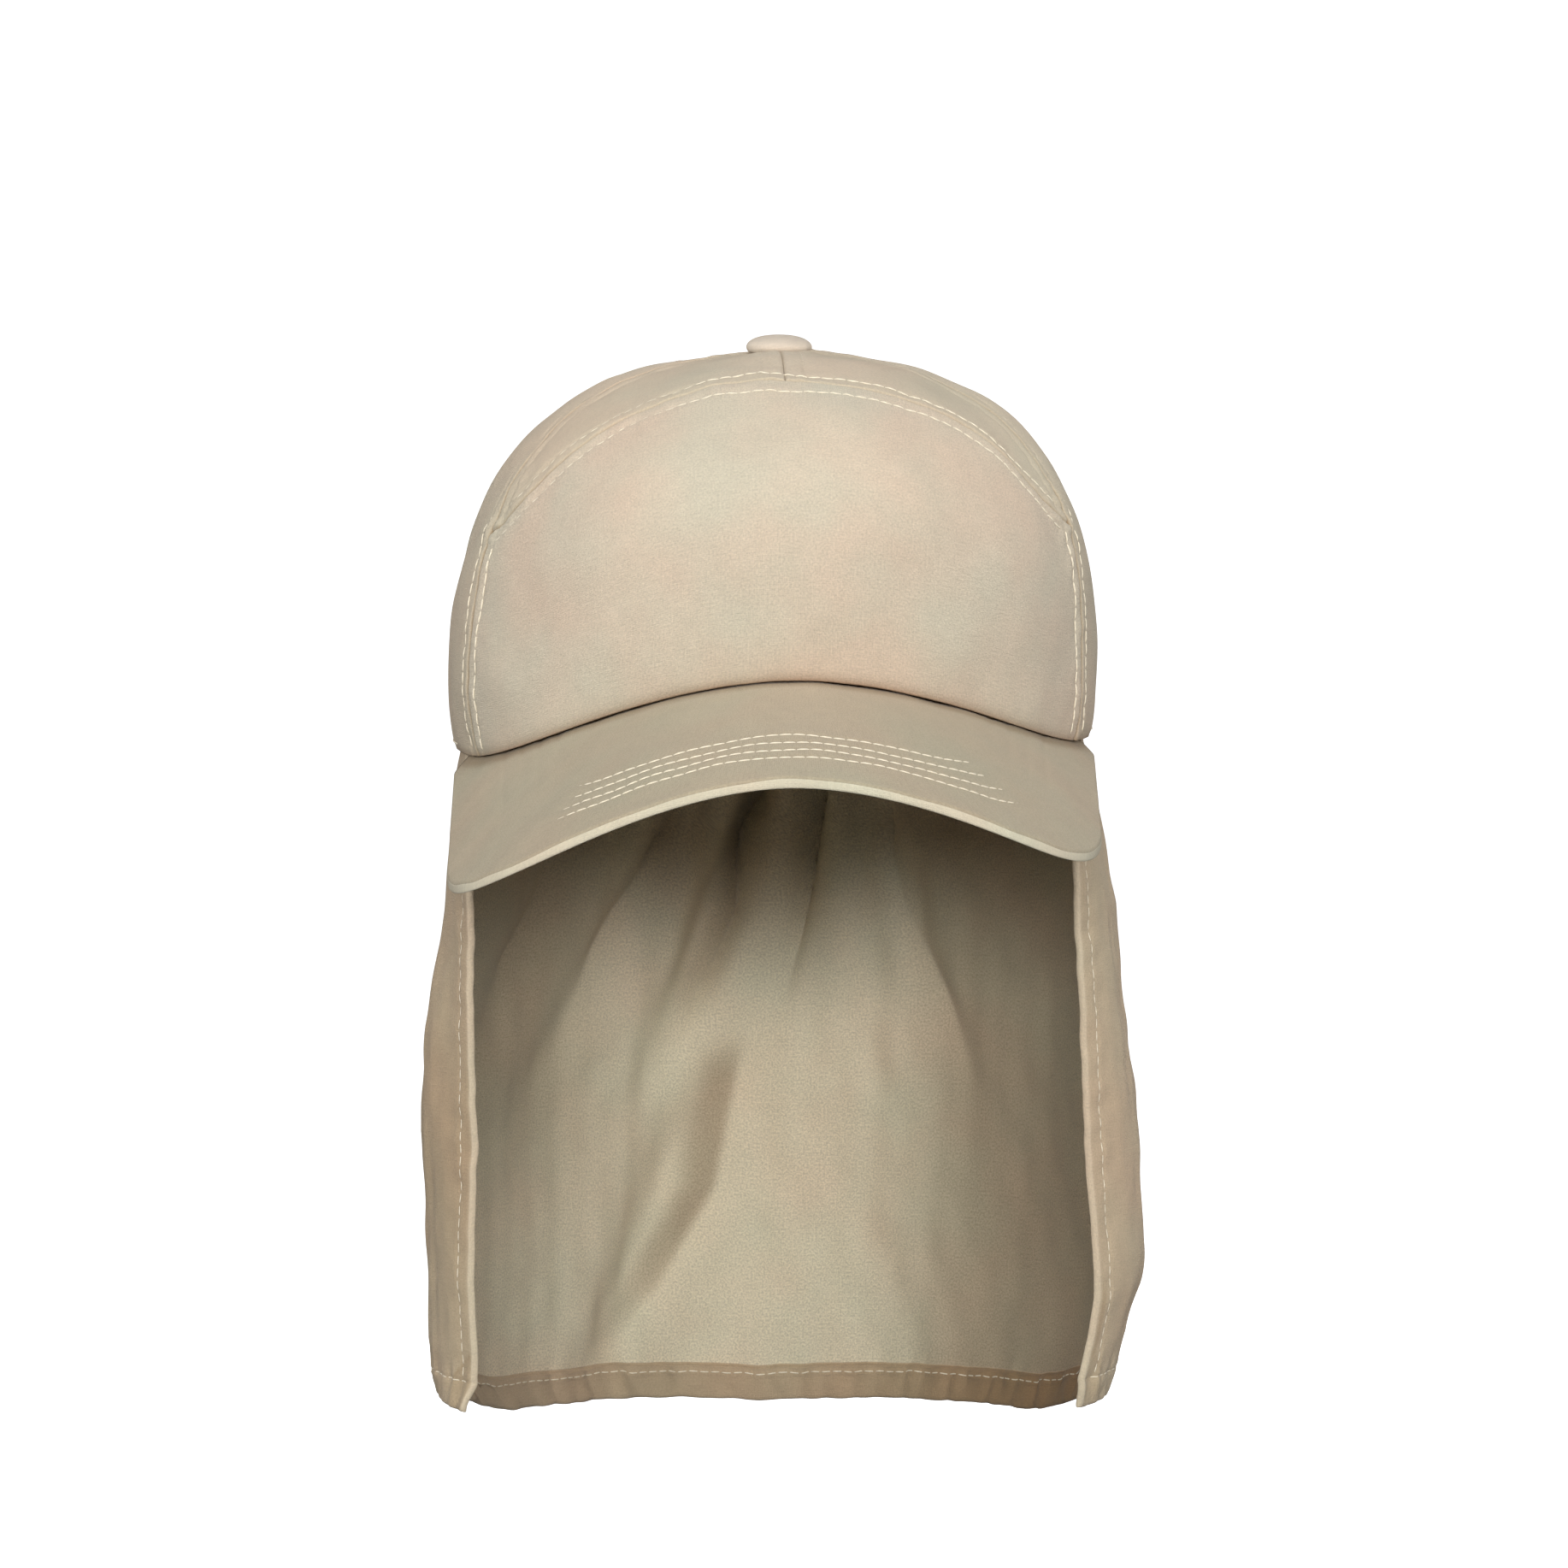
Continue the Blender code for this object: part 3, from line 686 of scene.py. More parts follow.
@dataclass(frozen=True)
class CapForm:
    """The shared form of crown and peak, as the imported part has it."""

    half_width: float = 0.0890
    front_reach: float = 0.1010
    back_reach: float = 0.1030
    height: float = 0.1080
    lean_deg: float = 1.3
    rim_tuck: float = 0.0020
    tuck_height: float = 0.0215
    wall: float = 0.0012
    seam_gap: float = 0.0003
    front_squareness: float = 2.40
    side_squareness: float = 2.45
    back_squareness: float = 2.20
    front_seam_deg: float = 67.5
    back_seam_deg: float = 123.0
    arc_reach_middle: float = 0.0550
    arc_reach_side: float = 0.0816
    arc_squareness: float = 4.0
    pin_radius: float = 0.0045
    wall_share: float = 0.16
    dent_full_scale: float = 0.50
    dent_depth: float = 0.0016
    dents: tuple[Dent, ...] = (
        Dent(-50.0, 0.86, 26.0, 0.07, 1.0),
        Dent(-42.0, 0.22, 13.0, 0.08, 0.6),
        Dent(48.0, 0.30, 12.0, 0.10, 0.5),
        Dent(0.0, 0.42, 26.0, 0.14, -0.5),
        Dent(-92.0, 0.40, 14.0, 0.12, 0.8),
        Dent(96.0, 0.35, 16.0, 0.10, 0.6),
        Dent(-150.0, 0.45, 16.0, 0.12, 0.9),
        Dent(152.0, 0.36, 14.0, 0.12, 0.8),
    )
    peak_end_deg: float = 75.0
    pitch_middle_deg: float = 16.0
    pitch_end_deg: float = 14.0
    twist_deg: float = 1.4
    twist_fade: float = 0.0450
    arch_power: float = 1.90
    rim_rise: float = 0.0233

    @property
    def rim_scale(self) -> float:
        """Plan scale of the rim."""
        return 1.0 - self.rim_tuck / self.half_width

    @property
    def peak_end(self) -> Array:
        """Plan point of the +X end of the peak's seam."""
        return self.plan(np.radians(self.peak_end_deg), self.rim_scale)

    def plan(self, azimuth: Array, scale: Array, inset: Array | float = 0.0) -> Array:
        """Plan point on the crown's ellipse, scaled about its axis and moved in by an inset.

        Args:
            azimuth: azimuths in radians.
            scale: scale of the ellipse about its axis.
            inset: distance moved in towards the axis.

        Returns:
            Plan points of x and y.
        """
        reach = np.where(np.cos(azimuth) > 0.0, self.front_reach, self.back_reach)
        x = (self.half_width * scale - inset) * np.sin(azimuth)
        y = -(reach * scale - inset) * np.cos(azimuth)
        return np.stack(np.broadcast_arrays(x, y), axis=-1)

    def peak_top(self, plan: Array) -> Array:
        """Height of the peak's upper face.

        A pitched sheet whose pitch eases to the ends, less an arch that grows as a power of the
        distance aside, plus a twist that fades ahead of the seam.

        Args:
            plan: plan points of x and y.

        Returns:
            The heights.
        """
        x, y = plan[..., 0], plan[..., 1] + self.front_reach
        end_x, end_y = self.peak_end
        aside = np.abs(x / end_x)
        pitch = mix(slope(self.pitch_middle_deg), slope(self.pitch_end_deg), aside**2)
        arch = self.rim_rise + slope(self.pitch_end_deg) * (end_y + self.front_reach)
        twist = slope(self.twist_deg) * smooth(y / self.twist_fade + 1.0)
        return self.rim_rise + pitch * y - arch * aside**self.arch_power + x * twist

    def rim_height(self, azimuth: Array) -> Array:
        """Height of the crown's lower edge: on the peak, then easing down to the side rim.

        Args:
            azimuth: azimuths in radians.

        Returns:
            The heights.
        """
        turned = np.arctan2(np.sin(azimuth), np.cos(azimuth))
        end = math.radians(self.peak_end_deg)
        held = np.clip(turned, -end, end)
        on_peak = self.peak_top(self.plan(held, self.rim_scale, self.wall)) + self.seam_gap
        past = (np.abs(turned) - end) / (math.radians(self.back_seam_deg) - end)
        return on_peak * (1.0 - smooth(past))

    def squareness(self, azimuth: Array) -> Array:
        """Exponent of the crown's upper outline, blended between front, side and back.

        Args:
            azimuth: azimuths in radians.

        Returns:
            The exponents.
        """
        ahead = np.cos(azimuth)
        end = np.where(ahead > 0.0, self.front_squareness, self.back_squareness)
        return mix(self.side_squareness, end, ahead * ahead)

    def dent(self, azimuth: Array, share: Array) -> Array:
        """Depth of the soft dents, a sum of bells.

        Args:
            azimuth: azimuths in radians.
            share: shares of the way up a meridian, 0 at the rim and 1 at the top.

        Returns:
            The depths, inwards where above 0.
        """
        total = np.zeros(np.broadcast(azimuth, share).shape)
        for row in self.dents:
            off = azimuth - math.radians(row.azimuth)
            turn = np.arctan2(np.sin(off), np.cos(off))
            bell = hump(turn, math.radians(row.half_angle)) * hump(share - row.height, row.half_height)
            total = total + row.depth * bell
        return self.dent_depth * total

    def crown(self, azimuth: Array, share: Array) -> Array:
        """Point on the crown's outside: share 0 is the rim and 1 the top.

        The steep wall below the widest height draws in by a parabola. Above it the outline is a
        superellipse in polar form, and the whole leans a little to +X.

        Args:
            azimuth: azimuths in radians.
            share: shares of the way up a meridian, 0 at the rim and 1 at the top.

        Returns:
            Points whose last axis holds x, y and z.
        """
        azimuth, share = np.broadcast_arrays(azimuth, share)
        rim = self.rim_height(azimuth)
        widest = rim + self.tuck_height
        up = share / self.wall_share
        low_scale = mix(self.rim_scale, 1.0, 1.0 - (1.0 - up) ** 2)
        angle = np.maximum(share - self.wall_share, 0.0) / (1.0 - self.wall_share) * np.pi / 2.0
        power = self.squareness(azimuth)
        along, rise = np.maximum(np.cos(angle), 0.0), np.sin(angle)
        norm = (along**power + rise**power) ** (1.0 / power)
        on_wall = share < self.wall_share
        scale = np.where(on_wall, low_scale, along / norm)
        height = np.where(on_wall, mix(rim, widest, up), mix(widest, self.height, rise / norm))
        inset = self.dent(azimuth, share) * np.minimum(1.0, scale / self.dent_full_scale)
        plan = self.plan(azimuth, scale, inset)
        height = height - inset * (1.0 - scale)
        lean = slope(self.lean_deg) * np.maximum(height - self.tuck_height, 0.0)
        return np.stack([plan[..., 0] + lean, plan[..., 1], height], axis=-1)

    def share_at_scale(self, azimuth: Array, scale: Array) -> Array:
        """The share of a meridian, above the widest height, where the plan has that scale.

        Args:
            azimuth: azimuths in radians.
            scale: scales of the plan.

        Returns:
            The shares.
        """
        power = self.squareness(azimuth)
        up = np.maximum(1.0 - scale**power, 0.0) ** (1.0 / power)
        return mix(self.wall_share, 1.0, np.arctan2(up, scale) / (np.pi / 2.0))

    def arc_share(self, azimuth: Array) -> Array:
        """Where the arched seam crosses a meridian: in plan it is a superellipse about the axis.

        Args:
            azimuth: azimuths in radians.

        Returns:
            The shares.
        """
        ahead = np.cos(azimuth) * self.front_reach / self.arc_reach_middle
        aside = np.abs(np.sin(azimuth)) * self.half_width / self.arc_reach_side
        norm = (ahead**self.arc_squareness + aside**self.arc_squareness) ** (1.0 / self.arc_squareness)
        return self.share_at_scale(azimuth, np.minimum(1.0 / norm, 1.0))

    def top_share(self, azimuth: Array) -> Array:
        """Where the crown's pieces end round the button's post."""
        return self.share_at_scale(azimuth, np.asarray(self.pin_radius / self.half_width))


# Crown


class SeamKind(Enum):
    """Which seam of the crown it is."""

    ARC = "arc"
    SIDE = "side"
    MIDDLE = "middle"


@dataclass(frozen=True)
class Seam:
    """A seam of the crown: its path as azimuths and shares, and its two stitch rows.

    Puff is the height of the padded ridges and depth the share of the full groove. Spread is how
    much further apart the rows lie at the front's middle, as a share, and spread reach the half
    angle in radians over which they do. The line shade is painted shade in the crack where pieces meet.
    """

    kind: SeamKind
    azimuth: Array
    share: Array
    rows: tuple[float, float]
    puff: float = 0.00020
    depth: float = 1.0
    spread: float = 0.0
    spread_reach: float = 0.62
    # Painted shade along the crack where the pieces meet: its strength and half width.
    line_shade: float = 0.75
    line_width: float = 0.00034

    def widen(self, azimuth: Array) -> Array:
        """Factor of the row distances: 1 plus the spread times a bell about the front."""
        return 1.0 + self.spread * hump(azimuth, self.spread_reach)


class CrownEdge(Enum):
    """Where the lower or upper edge of a crown piece runs."""

    RIM = "rim"
    ARC = "arc"
    TOP = "top"


@dataclass(frozen=True)
class PanelCut:
    """One piece of the crown: its node, its side seams, the edges it runs between and its cells."""

    node: str
    start_deg: float
    end_deg: float
    low: CrownEdge
    high: CrownEdge
    cells: tuple[int, int]
    slot: str = "crown_cloth"


@dataclass
class Crown:
    """The seven sewn pieces of the crown and their stitching.

    Above arc and arc end hold where a ramp starts and how far it runs.
    """

    form: CapForm
    groove: float = 0.00060
    groove_width: float = 0.00045
    ridge_rise: float = 0.0011
    ridge_flat: float = 0.45
    row_valley: float = 0.00020
    row_valley_width: float = 0.00055
    wave: Ripple = Ripple(11, 0.030, 0.060)
    wave_height: float = 0.00030
    wrinkle: Ripple = Ripple(12, 0.010, 0.020)
    wrinkle_height: float = 0.00010
    puckers: Ripple = Ripple(13, 0.0038, 0.0085)
    pucker: float = 0.00011
    pucker_at: float = 0.8
    pucker_reach: float = 0.0042
    edge_gap: float = 0.00006
    least_plan: float = 0.003
    cell_crowding: float = 0.72
    hollow: float = 0.0012
    hollow_reach: float = 0.0065
    hollow_deg: tuple[float, float] = (-65.0, -80.0)
    hollow_shares: tuple[float, float] = (0.95, 0.94)
    rim_groove: float = 0.0004
    rim_groove_share: float = 0.012
    # Painted shade above the rim, where the cloth rolls under: strengths and reaches.
    rim_shades: tuple[float, float] = (0.45, 0.40)
    rim_shade_shares: tuple[float, float] = (0.013, 0.007)
    middle_show: float = 0.42
    sunk_above_arc: float = 0.7
    above_arc: tuple[float, float] = (0.01, 0.03)
    sunk_at_end: float = 0.45
    arc_end: tuple[float, float] = (0.30, 0.30)
    rows_from: float = 0.004
    rows_stop: float = 0.015
    side_clear: float = 0.018
    middle_clear: float = 0.022
    arc_clear_deg: float = 2.2
    fewest_points: int = 4
    rim_row_share: float = 0.016
    rim_row_clear_deg: float = 4.0
    seams: list[Seam] = field(init=False)
    paths: list[Array] = field(init=False)
    hollow_line: Array = field(init=False)

    def __post_init__(self) -> None:
        """Lay out the seams."""
        form = self.form
        t = np.linspace(0.0, 1.0, 121)
        arc = np.radians(mix(-form.front_seam_deg, form.front_seam_deg, t))
        self.seams = [Seam(SeamKind.ARC, arc, form.arc_share(arc), (0.0038, 0.0031), spread=1.1)]
        sides = (
            (-form.front_seam_deg, (0.0042, 0.0048)),
            (form.front_seam_deg, (0.0048, 0.0042)),
            (-form.back_seam_deg, (0.0042, 0.0042)),
            (form.back_seam_deg, (0.0042, 0.0042)),
            (180.0, (0.0045, 0.0045)),
        )
        for degrees, rows in sides:
            azimuth = np.full_like(t, math.radians(degrees))
            shares = mix(0.0, form.top_share(azimuth), t)
            self.seams.append(Seam(SeamKind.SIDE, azimuth, shares, rows, line_shade=1.15, line_width=0.00050))
        middle = np.zeros_like(t)
        shares = mix(form.arc_share(middle), form.top_share(middle), t)
        self.seams.append(Seam(SeamKind.MIDDLE, middle, shares, (0.0055, 0.0055), puff=0.00008, depth=0.45))
        self.paths = [form.crown(seam.azimuth, seam.share) for seam in self.seams]
        self.hollow_line = form.crown(np.radians(self.hollow_deg), np.array(self.hollow_shares))

    def slopes(self, azimuth: Array, share: Array) -> tuple[Array, Array]:
        """Change of the surface with azimuth and with share, from central differences.

        Args:
            azimuth: azimuths in radians.
            share: shares of the way up a meridian, 0 at the rim and 1 at the top.

        Returns:
            The change with a radian of azimuth, and the change with a whole share.
        """
        turn, rise = 1e-3, 1e-3
        along = self.form.crown(azimuth + turn, share) - self.form.crown(azimuth - turn, share)
        up = self.form.crown(azimuth, share + rise) - self.form.crown(azimuth, share - rise)
        return along / (2.0 * turn), up / (2.0 * rise)

    def relief(self, points: Array) -> tuple[Array, Array]:
        """Height of the sewn relief at points of the plain crown, and the painted shade along the seams.

        Each seam is a narrow groove between two padded ridges that end in shallow valleys under
        the stitch rows. Puckers fade out beside the rows, and soft dents lie all over.

        Args:
            points: points of the plain crown.

        Returns:
            The heights and the painted shades.
        """
        height = self.wave_height * self.wave.at(points)
        height = height + self.wrinkle_height * self.wrinkle.at(points)
        height = height - self.hollow * hump(distance_to(points, self.hollow_line), self.hollow_reach)
        shade = np.zeros(points.shape[:-1])
        puckers = self.puckers.at(points)
        for seam, path in zip(self.seams, self.paths):
            away = distance_to(points, path)
            row = sum(seam.rows) / 2.0 * seam.widen(np.arctan2(points[..., 0], -points[..., 1]))
            fall = (away - self.ridge_flat * row) / ((1.0 - self.ridge_flat) * row)
            ridge = smooth(away / self.ridge_rise) * (1.0 - smooth(fall))
            height = height + seam.puff * ridge
            height = height - seam.depth * self.groove * hump(away, self.groove_width)
            height = height - self.row_valley * hump(away - row, self.row_valley_width)
            height = height + self.pucker * puckers * hump(away - self.pucker_at * row, self.pucker_reach)
            # Painted shade in the seam's crack.
            shade = np.maximum(shade, seam.line_shade * seam.depth * hump(away, seam.line_width))
        return height, shade

    def skin(self, azimuth: Array, share: Array) -> tuple[Array, Array, Array]:
        """Points of the sewn crown, its normals and its painted shade.

        A groove with the form of a bell runs along the rim. The rim's painted shade, where the cloth
        rolls under onto the peak, is a long exponential fall plus a short bell.

        Args:
            azimuth: azimuths in radians.
            share: shares of the way up a meridian, 0 at the rim and 1 at the top.

        Returns:
            Points, outward normals and painted shades.
        """
        plain = self.form.crown(azimuth, share)
        along, up = self.slopes(azimuth, share)
        normal = unit(np.cross(along, up))
        height, shade = self.relief(plain)
        height = height - self.rim_groove * hump(share, self.rim_groove_share)
        # Painted shade along the rim.
        (long, short), (long_share, short_share) = self.rim_shades, self.rim_shade_shares
        rim_shade = long * np.exp(-share / long_share) + short * hump(share, short_share)
        return plain + height[..., None] * normal, normal, np.maximum(shade, rim_shade)

    def beside(self, seam: Seam, distance: Array) -> tuple[Array, Array]:
        """The seam's path moved sideways over the cloth.

        The wanted step is the distance along the cross product of normal and path. It is solved
        as a change of azimuth and share from the surface's two slopes.

        Args:
            seam: the seam to follow.
            distance: distance to the side at each of its points.

        Returns:
            Azimuths and shares of the moved path.
        """
        along, up = self.slopes(seam.azimuth, seam.share)
        heading = unit(np.gradient(self.form.crown(seam.azimuth, seam.share), axis=0))
        step = distance[:, None] * unit(np.cross(unit(np.cross(along, up)), heading))
        aa, au, uu = ((p * q).sum(-1) for p, q in ((along, along), (along, up), (up, up)))
        sa, su = (step * along).sum(-1), (step * up).sum(-1)
        scale = aa * uu - au * au
        return seam.azimuth + (uu * sa - au * su) / scale, seam.share + (aa * su - au * sa) / scale

    def edge(self, kind: CrownEdge, azimuth: Array) -> Array:
        """Share of a piece's lower or upper edge.

        Args:
            kind: which edge.
            azimuth: azimuths in radians.

        Returns:
            The shares.
        """
        if kind is CrownEdge.RIM:
            return np.zeros_like(azimuth)
        return self.form.arc_share(azimuth) if kind is CrownEdge.ARC else self.form.top_share(azimuth)

    def build_panel(self, cut: PanelCut, finish: bpy.types.Material) -> bpy.types.Object:
        """Build one piece as a closed wall whose cells crowd towards its seams.

        Args:
            cut: the piece to build.
            finish: its material.

        Returns:
            The object.
        """
        rows, columns = cut.cells
        start, end = math.radians(cut.start_deg), math.radians(cut.end_deg)
        across = crowded(columns, self.cell_crowding)[None, :]
        up = crowded(rows, self.cell_crowding)[:, None]
        azimuth = mix(start, end, across)
        share = mix(self.edge(cut.low, azimuth), self.edge(cut.high, azimuth), up)
        plan = np.linalg.norm(self.form.crown(azimuth, share)[..., :2], axis=-1)
        trim = self.edge_gap / np.maximum(plan, self.least_plan)
        azimuth = mix(start + trim, end - trim, across)
        outer, normal, shade = self.skin(azimuth, share)
        inner = outer - self.form.wall * normal
        piece = Patchwork()
        piece.add_shell(outer, inner, flat_coordinates(outer), shade)
        return piece.make(cut.node + "_cloth", [finish], (cut.node,))

    def thread_show(self, seam: Seam, azimuth: Array, share: Array) -> Array:
        """How much thread shows: sunk at the middle seam, above the arc and at the arc's -X end.

        Args:
            seam: the seam that is sewn.
            azimuth: azimuths in radians.
            share: shares of the way up a meridian, 0 at the rim and 1 at the top.

        Returns:
            1 where the thread shows in full, less where it sinks into the cloth.
        """
        if seam.kind is SeamKind.MIDDLE:
            return np.full_like(share, self.middle_show)
        if seam.kind is SeamKind.SIDE:
            above = share - self.form.arc_share(azimuth)
            return 1.0 - self.sunk_above_arc * ramp(above, *self.above_arc)
        return 1.0 - self.sunk_at_end * ramp(-azimuth, *self.arc_end)

    def stitch_rows(self, seam: Seam) -> list[StitchRow]:
        """The two stitch rows of a seam, kept to the stretch where they don't cross the others.

        Args:
            seam: the seam to sew.

        Returns:
            The rows, one for each unbroken stretch.
        """
        rows = []
        for side, distance in zip((-1.0, 1.0), seam.rows):
            azimuth, share = self.beside(seam, side * distance * seam.widen(seam.azimuth))
            keep = (share > self.rows_from) & (share < self.form.top_share(azimuth) - self.rows_stop)
            if seam.kind is SeamKind.SIDE:
                front = math.isclose(abs(seam.azimuth[0]), math.radians(self.form.front_seam_deg))
                if front and (np.abs(azimuth) < np.abs(seam.azimuth)).all():
                    keep &= np.abs(share - self.form.arc_share(azimuth)) > self.side_clear
            if seam.kind is SeamKind.MIDDLE:
                keep &= share > self.form.arc_share(azimuth) + self.middle_clear
            if seam.kind is SeamKind.ARC:
                keep &= np.abs(azimuth) < math.radians(self.form.front_seam_deg - self.arc_clear_deg)
            for run in np.split(np.arange(len(keep)), np.flatnonzero(np.diff(keep)) + 1):
                if keep[run[0]] and len(run) > self.fewest_points:
                    point, normal, _ = self.skin(azimuth[run], share[run])
                    shown = self.thread_show(seam, azimuth[run], share[run])
                    rows.append(StitchRow(point, normal, shown))
        return rows

    def build(self, finishes: dict) -> list[bpy.types.Object]:
        """Build the seven pieces and the stitching of their seams.

        Args:
            finishes: materials by the wardrobe's names.

        Returns:
            The objects.
        """
        front, back = self.form.front_seam_deg, self.form.back_seam_deg
        rim, arc, top = CrownEdge.RIM, CrownEdge.ARC, CrownEdge.TOP
        panel = PanelCut("front_panel", -front, front, rim, arc, (70, 150), "front_cloth")
        cuts = (
            PanelCut("upper_front_panel_left", 0.0, front, arc, top, (80, 90)),
            PanelCut("upper_front_panel_right", -front, 0.0, arc, top, (80, 90)),
            PanelCut("side_panel_left", front, back, rim, top, (120, 80)),
            PanelCut("side_panel_right", -back, -front, rim, top, (120, 80)),
            PanelCut("back_panel_left", back, 180.0, rim, top, (120, 84)),
            PanelCut("back_panel_right", -180.0, -back, rim, top, (120, 84)),
        )
        made = [self.build_panel(panel, finishes["front"])]
        made += [self.build_panel(cut, finishes["crown"]) for cut in cuts]
        rows = [row for seam in self.seams for row in self.stitch_rows(seam)]
        start = self.form.peak_end_deg + self.rim_row_clear_deg
        turn = np.radians(np.linspace(start, 360.0 - start, 160))
        point, normal, _ = self.skin(turn, np.full_like(turn, self.rim_row_share))
        rows.append(StitchRow(point, normal))
        made.append(Stitching("crown_stitching", "crown_cloth", rows).build(finishes["thread"]))
        return made


@dataclass
class Button:
    """The covered button: a flattened dome over a post and a foot under the cloth."""

    form: CapForm
    radius: float = 0.0090
    height: float = 0.0050
    edge: float = 0.0016
    post_radius: float = 0.0028
    foot_radius: float = 0.0070
    foot_thickness: float = 0.0010
    seat_sink: float = 0.0006
    dome_open: float = 0.03
    dome_fullness: float = 0.86
    edge_tuck: float = 0.9
    axis_hole: float = 0.0004
    tuck_depth: float = 0.00014
    tucks: int = 9
    tuck_wander: float = 0.6
    tuck_height: float = 0.0012
    tuck_from: float = 0.7
    steps: int = 64

    def profile(self) -> Array:
        """Half section from the top to the foot: a flattened dome, a turned-in edge, post and foot.

        Returns:
            Points of radius and height.
        """
        seat = self.form.seam_gap - self.seat_sink
        foot_top = -self.form.wall - 2.0 * self.form.seam_gap
        angle = np.linspace(math.pi / 2.0 - self.dome_open, 0.0, 14)
        dome = np.stack([self.radius * np.cos(angle) ** self.dome_fullness,
                         seat + self.edge + (self.height - self.edge) * np.sin(angle)], axis=-1)
        turn = np.linspace(0.0, math.pi / 2.0, 7)[1:]
        tuck = np.stack([self.radius - self.edge * (1.0 - np.cos(turn)) * self.edge_tuck,
                         seat + self.edge * (1.0 - np.sin(turn))], axis=-1)
        low = foot_top - self.foot_thickness
        under = np.array([(self.post_radius, seat), (self.post_radius, foot_top),
                          (self.foot_radius, foot_top), (self.foot_radius, low), (self.axis_hole, low)])
        return np.concatenate([dome, tuck, under])

    def build(self, finishes: dict) -> bpy.types.Object:
        """Turn the profile about the button's axis, with faint radial tucks at the edge.

        The tucks are a cosine round the axis, whose phase wanders, times a bell about the edge.

        Args:
            finishes: materials by the wardrobe's names.

        Returns:
            The object.
        """
        profile = self.profile()
        turn = np.linspace(0.0, 2.0 * np.pi, self.steps, endpoint=False)
        radius = profile[:, None, 0] * np.ones_like(turn)
        waves = np.cos(self.tucks * turn + self.tuck_wander * np.sin(2.0 * turn))
        tuck = self.tuck_depth * waves * hump(profile[:, None, 1] - self.tuck_height, self.tuck_height)
        radius = radius + tuck * (profile[:, None, 0] > self.tuck_from * self.radius)
        axis = self.form.crown(np.array(0.0), np.array(1.0))
        rings = np.stack([radius * np.cos(turn), radius * np.sin(turn),
                          np.broadcast_to(profile[:, None, 1], radius.shape)], axis=-1) + axis
        piece = Patchwork()
        piece.add_tubes(rings[None, ::-1])
        return piece.make("button_covered", [finishes["button"]], ("button",))


# Peak


